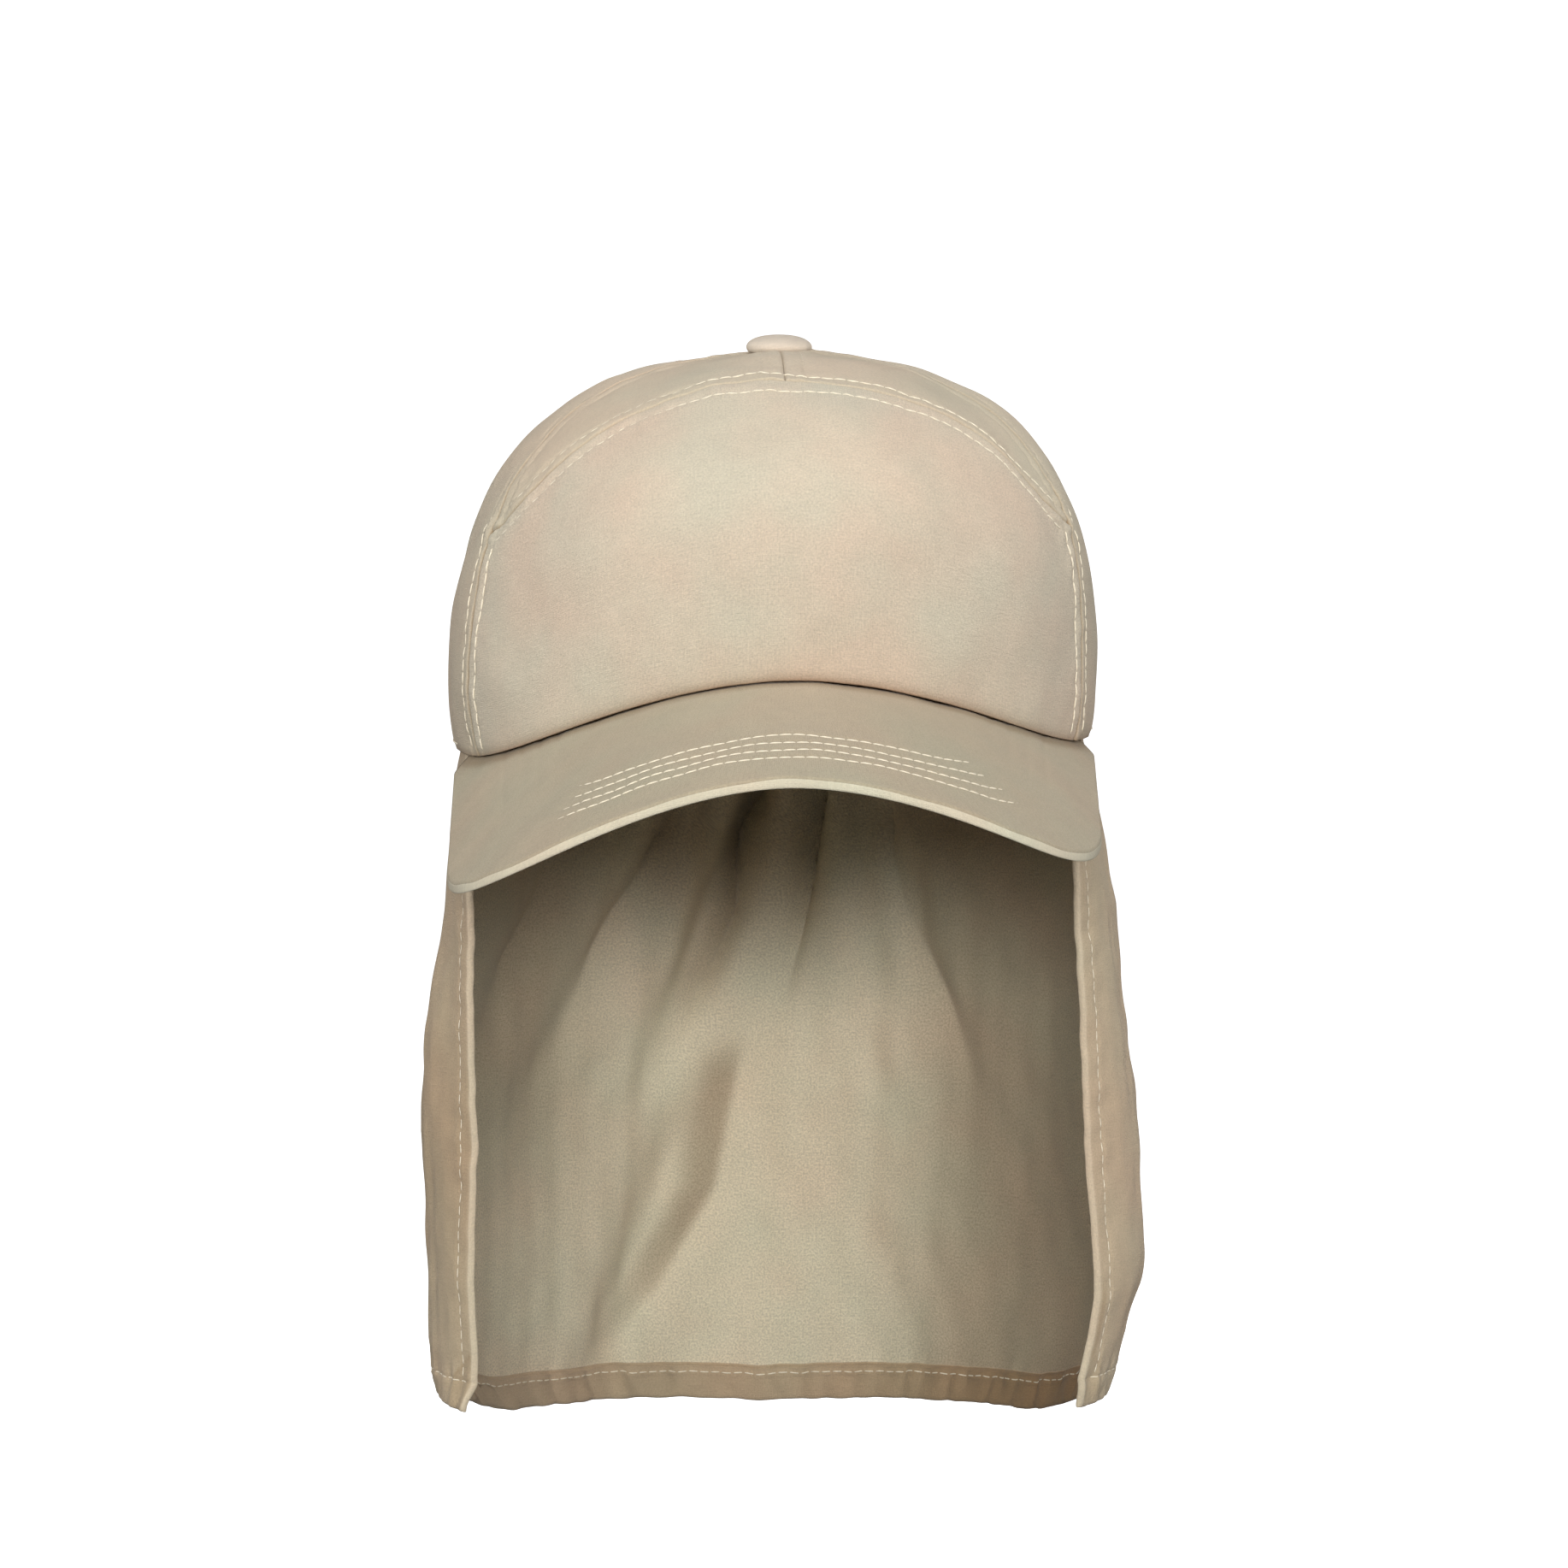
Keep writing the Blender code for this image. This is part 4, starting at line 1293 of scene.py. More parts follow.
@dataclass
class Peak:
    """The stiff curved peak, with four rows of stitching and a squared rolled edge in painted light.

    Corner from and sunk heading hold where a ramp starts and how far it runs. Sunk from holds how
    far aside the thread of the first and of the last row starts to sink.
    """

    form: CapForm
    length: float = 0.0630
    half_width: float = 0.0855
    corner_reach: float = 0.0900
    thickness: float = 0.0031
    edge_round: float = 0.0009
    edge_squareness: float = 3.4
    edge_from: float = 0.0006
    corner_from: tuple[float, float] = (0.42, 0.12)
    swing_deg: float = 1.9
    outline_squareness: float = 2.50
    end_width: float = 0.0030
    turn_in: float = 0.0010
    end_crowding: float = 0.94
    seam_crowding: float = 0.85
    deepest_round: float = 0.45
    row_distances: tuple[float, ...] = (0.0143, 0.0191, 0.0239, 0.0288)
    row_valley: float = 0.00022
    row_valley_width: float = 0.0007
    waves: Ripple = Ripple(31, 0.012, 0.030)
    wave_height: float = 0.00010
    # Painted shade along the joint with the crown: its strength and reach.
    joint_shade: float = 0.8
    joint_reach: float = 0.0016
    row_end: float = 0.97
    crown_clear: float = 1.035
    probe: float = 1e-4
    sunk_show: float = 0.72
    sunk_from: tuple[float, float] = (0.053, 0.047)
    sunk_fade: float = 0.010
    sunk_heading: tuple[float, float] = (0.72, 0.14)

    def outline(self, share: Array) -> Array:
        """Plan point of the free edge, from the -X end, -1, over the front, 0, to the +X end.

        The front is a superellipse, a straight side runs back to each end of the seam, and the
        whole edge swings a little to -X.

        Args:
            share: places along the edge, from -1 to 1.

        Returns:
            Plan points of x and y.
        """
        end_x, end_y = self.form.peak_end
        side = self.corner_reach + end_y
        reach = self.form.front_reach + self.length - self.corner_reach
        quarter = math.pi / 4.0 * (self.half_width + reach)
        turned = quarter / (quarter + side)
        part = np.abs(share)
        angle = np.minimum(part / turned, 1.0) * np.pi / 2.0
        across, ahead = np.sin(angle), np.maximum(np.cos(angle), 0.0)
        power = self.outline_squareness
        norm = (across**power + ahead**power) ** (1.0 / power)
        back = np.maximum((part - turned) / (1.0 - turned), 0.0)
        on_front = part < turned
        side_x = mix(self.half_width, end_x + self.end_width, back)
        side_y = mix(-self.corner_reach, end_y, back)
        x = np.where(on_front, self.half_width * across / norm, side_x)
        y = np.where(on_front, -self.corner_reach - reach * ahead / norm, side_y)
        return np.stack([np.copysign(x, share) + (y - end_y) * slope(self.swing_deg), y], axis=-1)

    def edge_distance(self, plan: Array) -> Array:
        """Distance in plan from places on the peak to its free edge.

        Args:
            plan: plan points of x and y.

        Returns:
            The distances.
        """
        line = self.outline(np.linspace(-1.0, 1.0, 241))
        path = np.concatenate([line, np.zeros((len(line), 1))], axis=1)
        flat = np.concatenate([plan, np.zeros((*plan.shape[:-1], 1))], axis=-1)
        return distance_to(flat, path)

    def relief(self, plan: Array) -> Array:
        """Height of the cloth on the peak: valleys under the stitch rows and faint unevenness.

        Args:
            plan: plan points of x and y.

        Returns:
            The heights.
        """
        away = self.edge_distance(plan)
        height = self.wave_height * self.waves.at(plan)
        for distance in self.row_distances:
            height = height - self.row_valley * hump(away - distance, self.row_valley_width)
        return height

    def build(self, finishes: dict) -> list[bpy.types.Object]:
        """Build the peak and its stitching.

        Each section starts inside the crown, runs out over the top, round the edge, which is a
        superellipse, and back underneath.

        Args:
            finishes: materials by the wardrobe's names.

        Returns:
            The objects.
        """
        even = np.linspace(-1.0, 1.0, 241)
        share = np.sign(even) * np.abs(even) ** self.end_crowding
        edge = self.outline(share)
        end = math.radians(self.form.peak_end_deg)
        seam = self.form.plan(share * end, self.form.rim_scale, self.form.wall + self.turn_in)
        inward = seam - edge
        depth = np.linalg.norm(inward, axis=-1)[:, None]
        roll = np.linspace(0.0, np.pi, 17)
        power = 2.0 / self.edge_squareness
        round_in = np.minimum(self.edge_round, self.deepest_round * depth)
        rim_in = round_in * (1.0 - np.abs(np.sin(roll)) ** power)
        rim_down = self.thickness / 2.0 * (1.0 - np.sign(np.cos(roll)) * np.abs(np.cos(roll)) ** power)
        top_in = mix(depth, round_in, np.linspace(0.0, 1.0, 64)[:-1] ** self.seam_crowding)
        under_in = mix(round_in, depth, np.linspace(0.0, 1.0, 30)[1:])
        inside = np.concatenate([top_in, rim_in, under_in], axis=1)
        down = np.concatenate([np.zeros_like(top_in), np.broadcast_to(rim_down, rim_in.shape),
                               np.full_like(under_in, self.thickness)], axis=1)
        plan = edge[:, None, :] + inside[..., None] * unit(inward)[:, None, :]
        top = self.form.peak_top(plan) + self.relief(plan) * (down <= self.thickness / 2.0)
        rings = np.concatenate([plan, (top - down)[..., None]], axis=-1)
        piece = Patchwork()
        # Painted light: the rolled edge takes the lighter copy of the cloth, toned down towards the corners.
        on_edge = (inside[0] < self.edge_round + 1e-5) & (down[0] > self.edge_from)
        corner = ramp(np.abs(share), *self.corner_from)[:, None] * np.roll(on_edge, 1)
        # Painted shade along the joint with the crown.
        from_crown = np.maximum(depth - inside - self.form.wall - self.turn_in, 0.0)
        joint = self.joint_shade * hump(from_crown, self.joint_reach)
        piece.add_tubes(rings[None], np.maximum(corner, joint), on_edge.astype(int))
        cloths = [finishes["peak"], finishes["peak_edge"]]
        made = piece.make("peak_covered", cloths, ("peak",))
        return [made, self.stitching().build(finishes["thread"])]

    def stitching(self) -> Stitching:
        """Rows beside each other, each the free edge moved in; their thread sinks at the corners.

        Returns:
            The stitching, ready to build.
        """
        rows = []
        share = np.linspace(-self.row_end, self.row_end, 700)
        edge = self.outline(share)
        heading = unit(np.gradient(edge, axis=0))
        inward = np.stack([-heading[:, 1], heading[:, 0]], axis=-1)
        for distance in self.row_distances:
            plan = edge + distance * inward
            ahead = (plan[:, 0] / self.form.half_width) ** 2 + (plan[:, 1] / self.form.front_reach) ** 2
            keep = ahead > self.crown_clear
            plan = plan[keep]
            top = self.form.peak_top(plan) + self.relief(plan)
            path = np.concatenate([plan, top[:, None]], axis=-1)
            along = np.gradient(path, axis=0)
            out = np.concatenate([-inward[keep], np.zeros((len(plan), 1))], axis=-1)
            beyond = self.form.peak_top(plan - self.probe * inward[keep])
            out[:, 2] = (beyond - self.form.peak_top(plan)) / self.probe
            normal = unit(np.cross(unit(along), unit(out)))
            normal = normal * np.sign(normal[:, 2:])
            first, last = self.row_distances[0], self.row_distances[-1]
            start = mix(*self.sunk_from, (distance - first) / (last - first))
            turned = ramp(np.abs(heading[keep, 1]), *self.sunk_heading)
            aside = ramp(np.abs(plan[:, 0]), start, self.sunk_fade)
            show = 1.0 - self.sunk_show * np.maximum(aside, turned)
            rows.append(StitchRow(path, normal, show))
        return Stitching("peak_stitching", "peak_cloth", rows)


# Neck flap


@dataclass(frozen=True)
class Fold:
    """A fold of the flap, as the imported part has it: shares round the flap, widths and depth."""

    around_top: float
    around_foot: float
    width_top: float
    width_foot: float
    depth: float
    starts: float
    ends: float


@dataclass(frozen=True)
class Crease:
    """A sharp crease: shares down and round the flap that it passes, depth, reach on its sides, and the
    painted shade of its valley.
    """

    downs: tuple[float, ...]
    arounds: tuple[float, ...]
    depth: float
    reach_minus: float
    reach_plus: float
    # Painted shade in the crease's valley.
    shade: float = 0.0


@dataclass(frozen=True)
class SideDraw:
    """How one side of the flap is drawn in: a bell down the side, and a tucked lower corner."""

    depth: float
    middle: float
    reach: float
    tuck: float
    tuck_from: tuple[float, float]

    def inwards(self, down: Array) -> Array:
        """Depth times a bell about the middle, plus the tuck times its ramp.

        Args:
            down: shares of the way down from rim to foot.

        Returns:
            The distances inwards.
        """
        return self.depth * hump(down - self.middle, self.reach) + self.tuck * ramp(down, *self.tuck_from)


@dataclass(frozen=True)
class CornerMarks:
    """Tones of the lower corners: painted shade along a slanted crack over a grey patch, and in the opened
    hem of +X.

    Fade, lens from and lens to hold where a ramp starts and how far it runs.
    """

    crack_up: float = 0.017
    crack_slope: float = 0.85
    crack_painted_shade: float = -0.80
    crack_width: float = 0.0006
    patch_tone: float = -0.45
    patch_blur: float = 0.0008
    fade: tuple[float, float] = (0.009, 0.002)
    plus_share: float = 0.7
    lens_painted_shade: float = -0.90
    lens_in: float = 0.0028
    lens_width: float = 0.0010
    lens_from: tuple[float, float] = (0.012, 0.006)
    lens_to: tuple[float, float] = (0.030, 0.008)

    def tone(self, left: Array, inward: Array, up: Array) -> Array:
        """Tone that the marks add.

        The crack is a bell about a straight slanted line, and the patch lies under the line. The
        opened hem is a bell across, between two ramps up.

        Args:
            left: true on the -X side.
            inward: distance to the nearer front edge.
            up: height above the foot.

        Returns:
            The tones, dark below 0.
        """
        line = self.crack_up - self.crack_slope * inward - up
        # Painted shade along the crack, over the patch.
        crack = self.patch_tone * smooth(line / self.patch_blur)
        crack = crack + self.crack_painted_shade * hump(line, self.crack_width)
        crack = crack * (1.0 - ramp(inward, *self.fade))
        # Painted shade in the opened hem.
        lens = hump(inward - self.lens_in, self.lens_width)
        lens = lens * ramp(up, *self.lens_from) * (1.0 - ramp(up, *self.lens_to))
        return np.where(left, crack, self.plus_share * crack + self.lens_painted_shade * lens)


@dataclass
class NeckFlap:
    """The gathered cloth over the neck: one sheet with folded front hems and a bottom hem.

    A row of the table holds the share down, the flare, the width to -X and to +X, and the half gap
    of the front edges to -X and to +X. Of the pairs, those for shades and creases hold where a
    ramp starts and how far it runs, or a bell's middle and width. Side shade from and crease
    spread hold the -X and the +X side, hem falls the middle and the +X side, hem steps the side
    and the bottom hem, and edge run the cloth per share round at the rim and at full flare.
    """

    form: CapForm
    start_deg: float = 79.0
    tuck_up: float = 0.0080
    clearance: float = 0.0004
    quarter_from: float = 0.45
    side_from: float = 0.80
    side_drop: float = 0.1820
    quarter_drop: float = 0.1985
    back_drop: float = 0.2055
    half_width: float = 0.1000
    back_reach: float = 0.1280
    widest_back: float = 0.0100
    back_squareness: float = 1.65
    edge_half_gap: float = 0.0850
    edge_forward: float = 0.0200
    fold_depth: float = 0.0080
    gather_depth: float = 0.0028
    gather_half_width: float = 0.0420
    gather_pitch: float = 0.0140
    gather_fade: float = 0.0450
    cloth: float = 0.0011
    hem: float = 0.0021
    bottom_hem: float = 0.0097
    side_hem: float = 0.0075
    hem_steps: tuple[float, float] = (0.0005, 0.0004)
    edge_fullness: float = 0.96
    edge_run: tuple[float, float] = (0.172, 0.152)
    half_run: float = 0.19
    # Painted shade on the inside towards both sides.
    side_shade: float = 0.70
    side_shade_from: tuple[float, float] = (0.19, 0.14)
    side_shade_run: float = 0.22
    side_shade_to: tuple[float, float] = (0.70, 0.10)
    minus_shade_to: tuple[float, float] = (0.46, 0.32)
    # Painted light on the folded front edges: its tone and its ramps outside and inside.
    painted_light_tone: float = 1.35
    painted_light_outside: tuple[float, float] = (0.0011, 0.0006)
    painted_light_inside: tuple[float, float] = (0.0007, 0.0006)
    # Painted shade on the -X side and painted light on the +X side of the outside.
    minus_side_painted_shade: float = -0.60
    minus_side_painted_shade_at: tuple[float, float] = (0.60, 0.25)
    plus_side_painted_light: float = 0.28
    marks: CornerMarks = CornerMarks()
    hem_tone: float = 0.25
    hem_falls: tuple[float, float] = (0.5, 1.3)
    hem_middle: tuple[float, float] = (-0.7, 0.6)
    hem_plus: tuple[float, float] = (0.0, 0.50)
    minus_draw: SideDraw = SideDraw(0.0022, 0.66, 0.28, 0.0018, (0.90, 0.06))
    plus_draw: SideDraw = SideDraw(0.0030, 0.68, 0.20, 0.0036, (0.78, 0.12))
    draw_at: tuple[float, float] = (0.74, 0.22)
    crease_round: float = 0.0055
    crease_start: float = 0.15
    crease_end: tuple[float, float] = (0.55, 0.45)
    crease_spread: tuple[float, float] = (1.45, 0.60)
    wrinkle: Ripple = Ripple(41, 0.020, 0.045, (1.0, 3.2))
    wrinkle_height: float = 0.00055
    crumple: Ripple = Ripple(42, 0.007, 0.016, (1.0, 2.0))
    crumple_height: float = 0.00016
    calm_share: float = 0.75
    calm_reach: float = 0.020
    foot_puckers: Ripple = Ripple(43, 0.0045, 0.0110, (1.0, 2.4))
    foot_pucker: float = 0.00030
    foot_pucker_below: float = 0.003
    foot_pucker_reach: float = 0.0058
    side_puckers: Ripple = Ripple(44, 0.0060, 0.0140, (2.2, 1.0))
    side_pucker: float = 0.00026
    side_pucker_reach: float = 0.0050
    row_valley: float = 0.00024
    row_valley_width: float = 0.0006
    stitch_up: float = 0.0080
    stitch_in: float = 0.0056
    stitch_show: float = 0.62
    foot_row_end: float = 0.985
    side_row_top: float = 0.012
    probe_around: float = 1e-3
    probe_up: float = 2e-4
    even_rows: int = 112
    even_columns: int = 300
    foot_spread: float = 0.0120
    tucked_rows: tuple[float, ...] = (0.4, 1.0)
    foot_rows_mm: tuple[float, ...] = (
        0.0, 0.15, 0.45, 0.9, 1.5, 2.6, 3.8, 5.0, 6.2, 7.1,
        7.7, 8.0, 8.3, 8.8, 9.3, 9.68, 9.85, 10.0, 10.12, 10.6)
    edge_columns_mm: tuple[float, ...] = (
        0.0, 0.15, 0.45, 0.9, 1.5, 2.4, 3.3, 4.2, 4.9, 5.6, 6.3, 7.0, 7.45, 7.7, 8.05, 8.6)
    rows: tuple[tuple[float, ...], ...] = (
        (0.00, 0.00, 0.930, 0.980, 0.980, 0.965),
        (0.10, 0.70, 0.894, 0.933, 0.980, 0.965),
        (0.25, 0.88, 0.908, 0.978, 0.980, 0.975),
        (0.43, 0.92, 0.965, 1.012, 0.980, 1.000),
        (0.59, 1.00, 0.978, 1.031, 0.970, 1.018),
        (0.77, 1.00, 0.964, 1.045, 0.985, 1.050),
        (0.83, 1.00, 0.959, 1.045, 0.980, 1.055),
        (0.90, 1.00, 0.956, 1.026, 0.970, 1.034),
        (0.96, 1.00, 0.964, 0.995, 0.975, 1.005),
        (1.00, 1.00, 0.949, 0.976, 1.010, 1.000),
    )
    folds: tuple[Fold, ...] = (
        Fold(0.04, -0.34, 0.030, 0.055, 0.90, 0.00, 0.58),
        Fold(0.09, -0.03, 0.028, 0.040, 0.50, 0.00, 0.46),
        Fold(0.08, 0.03, 0.060, 0.110, -0.50, 0.20, 1.20),
        Fold(0.16, 0.46, 0.028, 0.050, 0.35, 0.02, 0.60),
        Fold(0.22, 0.25, 0.110, 0.120, -0.30, 0.15, 1.30),
        Fold(-0.07, -0.66, 0.035, 0.060, 0.45, 0.05, 0.60),
        Fold(-0.27, -0.83, 0.040, 0.070, 0.40, 0.08, 0.55),
        Fold(-0.22, -0.30, 0.110, 0.120, -0.30, 0.35, 1.30),
        Fold(0.21, -0.30, 0.045, 0.055, 0.60, 0.42, 1.10),
        Fold(-0.44, -0.44, 0.140, 0.140, 0.35, -0.20, 0.45),
        Fold(0.46, 0.46, 0.140, 0.140, 0.30, -0.20, 0.45),
        Fold(-0.78, -0.80, 0.080, 0.090, 0.20, 0.30, 1.00),
        Fold(0.76, 0.82, 0.080, 0.100, 0.25, 0.40, 1.10),
    )
    creases: tuple[Crease, ...] = (
        Crease((0.04, 0.12, 0.173, 0.240, 0.292, 0.362, 0.417, 0.53),
               (0.028, 0.007, -0.016, -0.020, -0.024, -0.053, -0.085, -0.130), 0.0090, 0.024, 0.0075, 0.55),
        Crease((0.04, 0.118, 0.208, 0.345, 0.44), (0.112, 0.100, 0.078, 0.057, 0.040),
               0.0070, 0.018, 0.0085, 0.08),
        Crease((0.06, 0.133, 0.200, 0.263, 0.318, 0.370, 0.415, 0.56),
               (0.220, 0.215, 0.205, 0.215, 0.238, 0.270, 0.300, 0.350), 0.0030, 0.009, 0.020),
        Crease((0.08, 0.168, 0.275, 0.333, 0.410, 0.50), (-0.120, -0.157, -0.232, -0.270, -0.307, -0.350),
               0.0030, 0.036, 0.016, 0.25),
        Crease((0.10, 0.185, 0.278, 0.352, 0.45), (-0.360, -0.387, -0.412, -0.485, -0.540),
               0.0022, 0.036, 0.016),
        Crease((0.46, 0.557, 0.690, 0.740, 0.840, 0.905, 0.98),
               (-0.030, -0.045, -0.072, -0.100, -0.165, -0.225, -0.280), 0.0030, 0.030, 0.022, 0.75),
        Crease((0.05, 0.12, 0.20, 0.28), (-0.080, -0.095, -0.130, -0.165), 0.0016, 0.020, 0.010),
        Crease((0.05, 0.12, 0.20, 0.30), (0.150, 0.152, 0.160, 0.172), 0.0012, 0.010, 0.020),
    )

    def section(self, down: Array) -> list[Array]:
        """The flap's section at shares of the way down, read between the rows of the table.

        Args:
            down: shares of the way down from rim to foot.

        Returns:
            Flare, width to -X and to +X, half gap to -X and to +X, each as a share.
        """
        table = np.array(self.rows)
        return [np.interp(down, table[:, 0], table[:, column]) for column in range(1, table.shape[1])]

    def ends(self, around: Array) -> tuple[Array, Array]:
        """Heights of the rim above and of the foot below each place round the flap.

        Args:
            around: places round the flap, from -1 at the -X front edge over 0 at the back to 1.

        Returns:
            The heights of the rim and of the foot.
        """
        part = np.abs(around)
        rim_angle = mix(np.pi, math.radians(self.start_deg), part)
        back = mix(self.back_drop, self.quarter_drop, np.minimum(part / self.quarter_from, 1.0))
        ease = smooth((part - self.quarter_from) / (self.side_from - self.quarter_from))
        foot = -mix(back, self.side_drop, ease)
        return self.form.rim_height(np.copysign(rim_angle, around)), foot

    def packed_folds(self, around: Array, down: Array) -> Array:
        """The part's folds: bells across, a parabola from start to end.

        Args:
            around: places round the flap, from -1 at the -X front edge over 0 at the back to 1.
            down: shares of the way down from rim to foot.

        Returns:
            The depths outwards.
        """
        total = np.zeros(np.broadcast(around, down).shape)
        for fold in self.folds:
            centre = mix(fold.around_top, fold.around_foot, down)
            width = mix(fold.width_top, fold.width_foot, down)
            middle, reach = (fold.starts + fold.ends) / 2.0, (fold.ends - fold.starts) / 2.0
            inside = np.maximum(1.0 - ((down - middle) / reach) ** 2, 0.0)
            total = total + fold.depth * inside * hump(around - centre, width)
        return self.fold_depth * total

    def sharp_folds(self, around: Array, down: Array) -> tuple[Array, Array]:
        """Creases and their painted shade.

        Each is deepest at a line and falls away at different rates on its two sides. Its painted shade
        has the same form, spread wider on the soft side.

        Args:
            around: places round the flap, from -1 at the -X front edge over 0 at the back to 1.
            down: shares of the way down from rim to foot.

        Returns:
            The depths outwards and the painted shades.
        """
        total = np.zeros(np.broadcast(around, down).shape)
        shade = np.zeros_like(total)
        for crease in self.creases:
            off = around - np.interp(down, crease.downs, crease.arounds)
            reach = np.where(off > 0.0, crease.reach_plus, crease.reach_minus)
            along = (down - crease.downs[0]) / (crease.downs[-1] - crease.downs[0])
            fade = smooth(along / self.crease_start) * (1.0 - ramp(along, *self.crease_end))
            away = np.sqrt(off**2 + self.crease_round**2) - self.crease_round
            total = total + crease.depth * fade * np.exp(-away / reach)
            spread = np.where(off > 0.0, self.crease_spread[1], self.crease_spread[0]) * reach
            # Painted shade in the crease's valley.
            shade = np.maximum(shade, crease.shade * fade * np.exp(-((off / spread) ** 4)))
        return total, shade

    def inside_shade(self, around: Array, down: Array) -> Array:
        """Painted shade on the cloth's inside: in the valleys of the folds and towards both sides.

        Args:
            around: places round the flap, from -1 at the -X front edge over 0 at the back to 1.
            down: shares of the way down from rim to foot.

        Returns:
            The shades.
        """
        left, part = around < 0.0, np.abs(around)
        sides = ramp(part, np.where(left, *self.side_shade_from), self.side_shade_run)
        sides = sides * (1.0 - ramp(part, *self.side_shade_to))
        sides = sides * np.where(left, 1.0 - ramp(down, *self.minus_shade_to), 1.0)
        return np.maximum(self.sharp_folds(around, down)[1], self.side_shade * sides)

    def outside_shade(self, around: Array, down: Array, inward: Array, up: Array) -> Array:
        """Painted light and shade of the outside, from 1 for painted light to below 0 for painted shade.

        The folded front edges get painted light, the -X side painted shade and the +X side a little
        painted light. Each lower corner has painted shade along a slanted crack with a greyer patch
        under it, and painted shade in a narrow lens where the hem of the +X corner opens.

        Args:
            around: places round the flap, from -1 at the -X front edge over 0 at the back to 1.
            down: shares of the way down from rim to foot.
            inward: distance to the nearer front edge.
            up: height above the foot.

        Returns:
            The tones.
        """
        left = around < 0.0
        # Painted shade on the -X side, painted light on the +X side.
        middle, reach = self.minus_side_painted_shade_at
        side = np.where(left, self.minus_side_painted_shade * hump(down - middle, reach), self.plus_side_painted_light)
        tone = side + self.marks.tone(left, inward, up)
        # Painted light on the folded front edges.
        return mix(tone, self.painted_light_tone, 1.0 - ramp(inward, *self.painted_light_outside))

    def hem_shade(self, around: Array, inward: Array) -> Array:
        """Tone of the hems' inner side: painted light at the folded front edges, dark towards +X.

        Args:
            around: places round the flap, from -1 at the -X front edge over 0 at the back to 1.
            inward: distance to the nearer front edge.

        Returns:
            The tones.
        """
        middle, plus = self.hem_falls
        dark = self.hem_tone - middle * ramp(around, *self.hem_middle) - plus * ramp(around, *self.hem_plus)
        # Painted light on the folded front edges.
        return mix(dark, self.painted_light_tone, 1.0 - ramp(inward, *self.painted_light_inside))

    def inward(self, around: Array, down: Array) -> Array:
        """Distance to the nearer front edge: the share left, times the cloth per share there."""
        flare = self.section(down)[0]
        return (1.0 - np.abs(around)) * mix(self.edge_run[0], self.edge_run[1], flare)

    def fine_relief(self, around: Array, z: Array, foot: Array, inward: Array) -> Array:
        """Wrinkles longer than wide, puckers along the hems and valleys under their stitches.

        Args:
            around: places round the flap, from -1 at the -X front edge over 0 at the back to 1.
            z: heights.
            foot: heights of the foot below.
            inward: distance to the nearer front edge.

        Returns:
            The heights of the relief.
        """
        place = np.stack(np.broadcast_arrays(around * self.half_run, z), axis=-1)
        height = self.wrinkle_height * self.wrinkle.at(place)
        height = height + self.crumple_height * self.crumple.at(place)
        height = height * (1.0 - self.calm_share * hump(inward, self.calm_reach))
        over, aside = z - foot - self.stitch_up, inward - self.stitch_in
        foot_bell = hump(over + self.foot_pucker_below, self.foot_pucker_reach)
        height = height + self.foot_pucker * self.foot_puckers.at(place) * foot_bell
        side_bell = hump(aside, self.side_pucker_reach)
        height = height + self.side_pucker * self.side_puckers.at(place) * side_bell
        height = height - self.row_valley * hump(over, self.row_valley_width)
        return height - self.row_valley * hump(aside, self.row_valley_width)

    def skin(self, around: Array, z: Array) -> Array:
        """Points on the flap's outside.

        The plan swings from the rim's ellipse to a wide outline on the way down, and the folds,
        gathers and fine relief move it along the wide outline's normal.

        Args:
            around: places round the flap, from -1 at the -X front edge over 0 at the back to 1.
            z: heights.

        Returns:
            Points whose last axis holds x, y and z.
        """
        around, z = np.broadcast_arrays(around, z)
        part = np.abs(around)
        rim, foot = self.ends(around)
        drop = np.maximum(rim - z, 0.0)
        down = drop / (rim - foot)
        flare, wide_minus, wide_plus, edge_minus, edge_plus = self.section(down)
        rim_angle = mix(np.pi, math.radians(self.start_deg), part)
        rim_plan = self.form.plan(rim_angle, self.form.rim_scale, self.form.wall + self.clearance)
        wide = self.half_width * np.where(around > 0.0, wide_plus, wide_minus)
        gap = self.edge_half_gap * np.where(around > 0.0, edge_plus, edge_minus)
        edge_angle = np.arcsin(np.minimum(gap / wide, 1.0))
        angle = mix(np.pi, edge_angle, part)
        ahead = (self.widest_back + self.edge_forward) / np.maximum(np.cos(edge_angle), 1e-3)
        turned = np.cos(angle) > 0.0
        reach = np.where(turned, -ahead, self.back_reach - self.widest_back)
        power = np.where(turned, 2.0, self.back_squareness)
        across, along = np.sin(angle), np.abs(np.cos(angle))
        norm = (across**power + along**power) ** (1.0 / power)
        across, along = across / norm, along / norm
        wide_plan = np.stack([wide * across, self.widest_back + reach * along], axis=-1)
        normal = unit(np.stack([across ** (power - 1.0) / wide, along ** (power - 1.0) / reach], axis=-1))
        run = around * np.pi / 2.0 * self.form.back_reach
        gather = hump(run, self.gather_half_width) * np.exp(-drop / self.gather_fade)
        gather = gather * smooth(drop / self.gather_pitch) * np.cos(2.0 * np.pi * run / self.gather_pitch)
        folds = self.packed_folds(around, down) + self.sharp_folds(around, down)[0]
        folds = folds + self.fine_relief(around, z, foot, self.inward(around, down))
        drawn = np.where(around < 0.0, self.minus_draw.inwards(down), self.plus_draw.inwards(down))
        middle, width = self.draw_at
        folds = folds - drawn * hump(part - middle, width)
        out = folds * smooth(drop / self.tuck_up) + self.gather_depth * gather
        plan = mix(rim_plan, wide_plan, flare[..., None]) + out[..., None] * normal
        return np.stack([np.copysign(plan[..., 0], around), plan[..., 1], z], axis=-1)

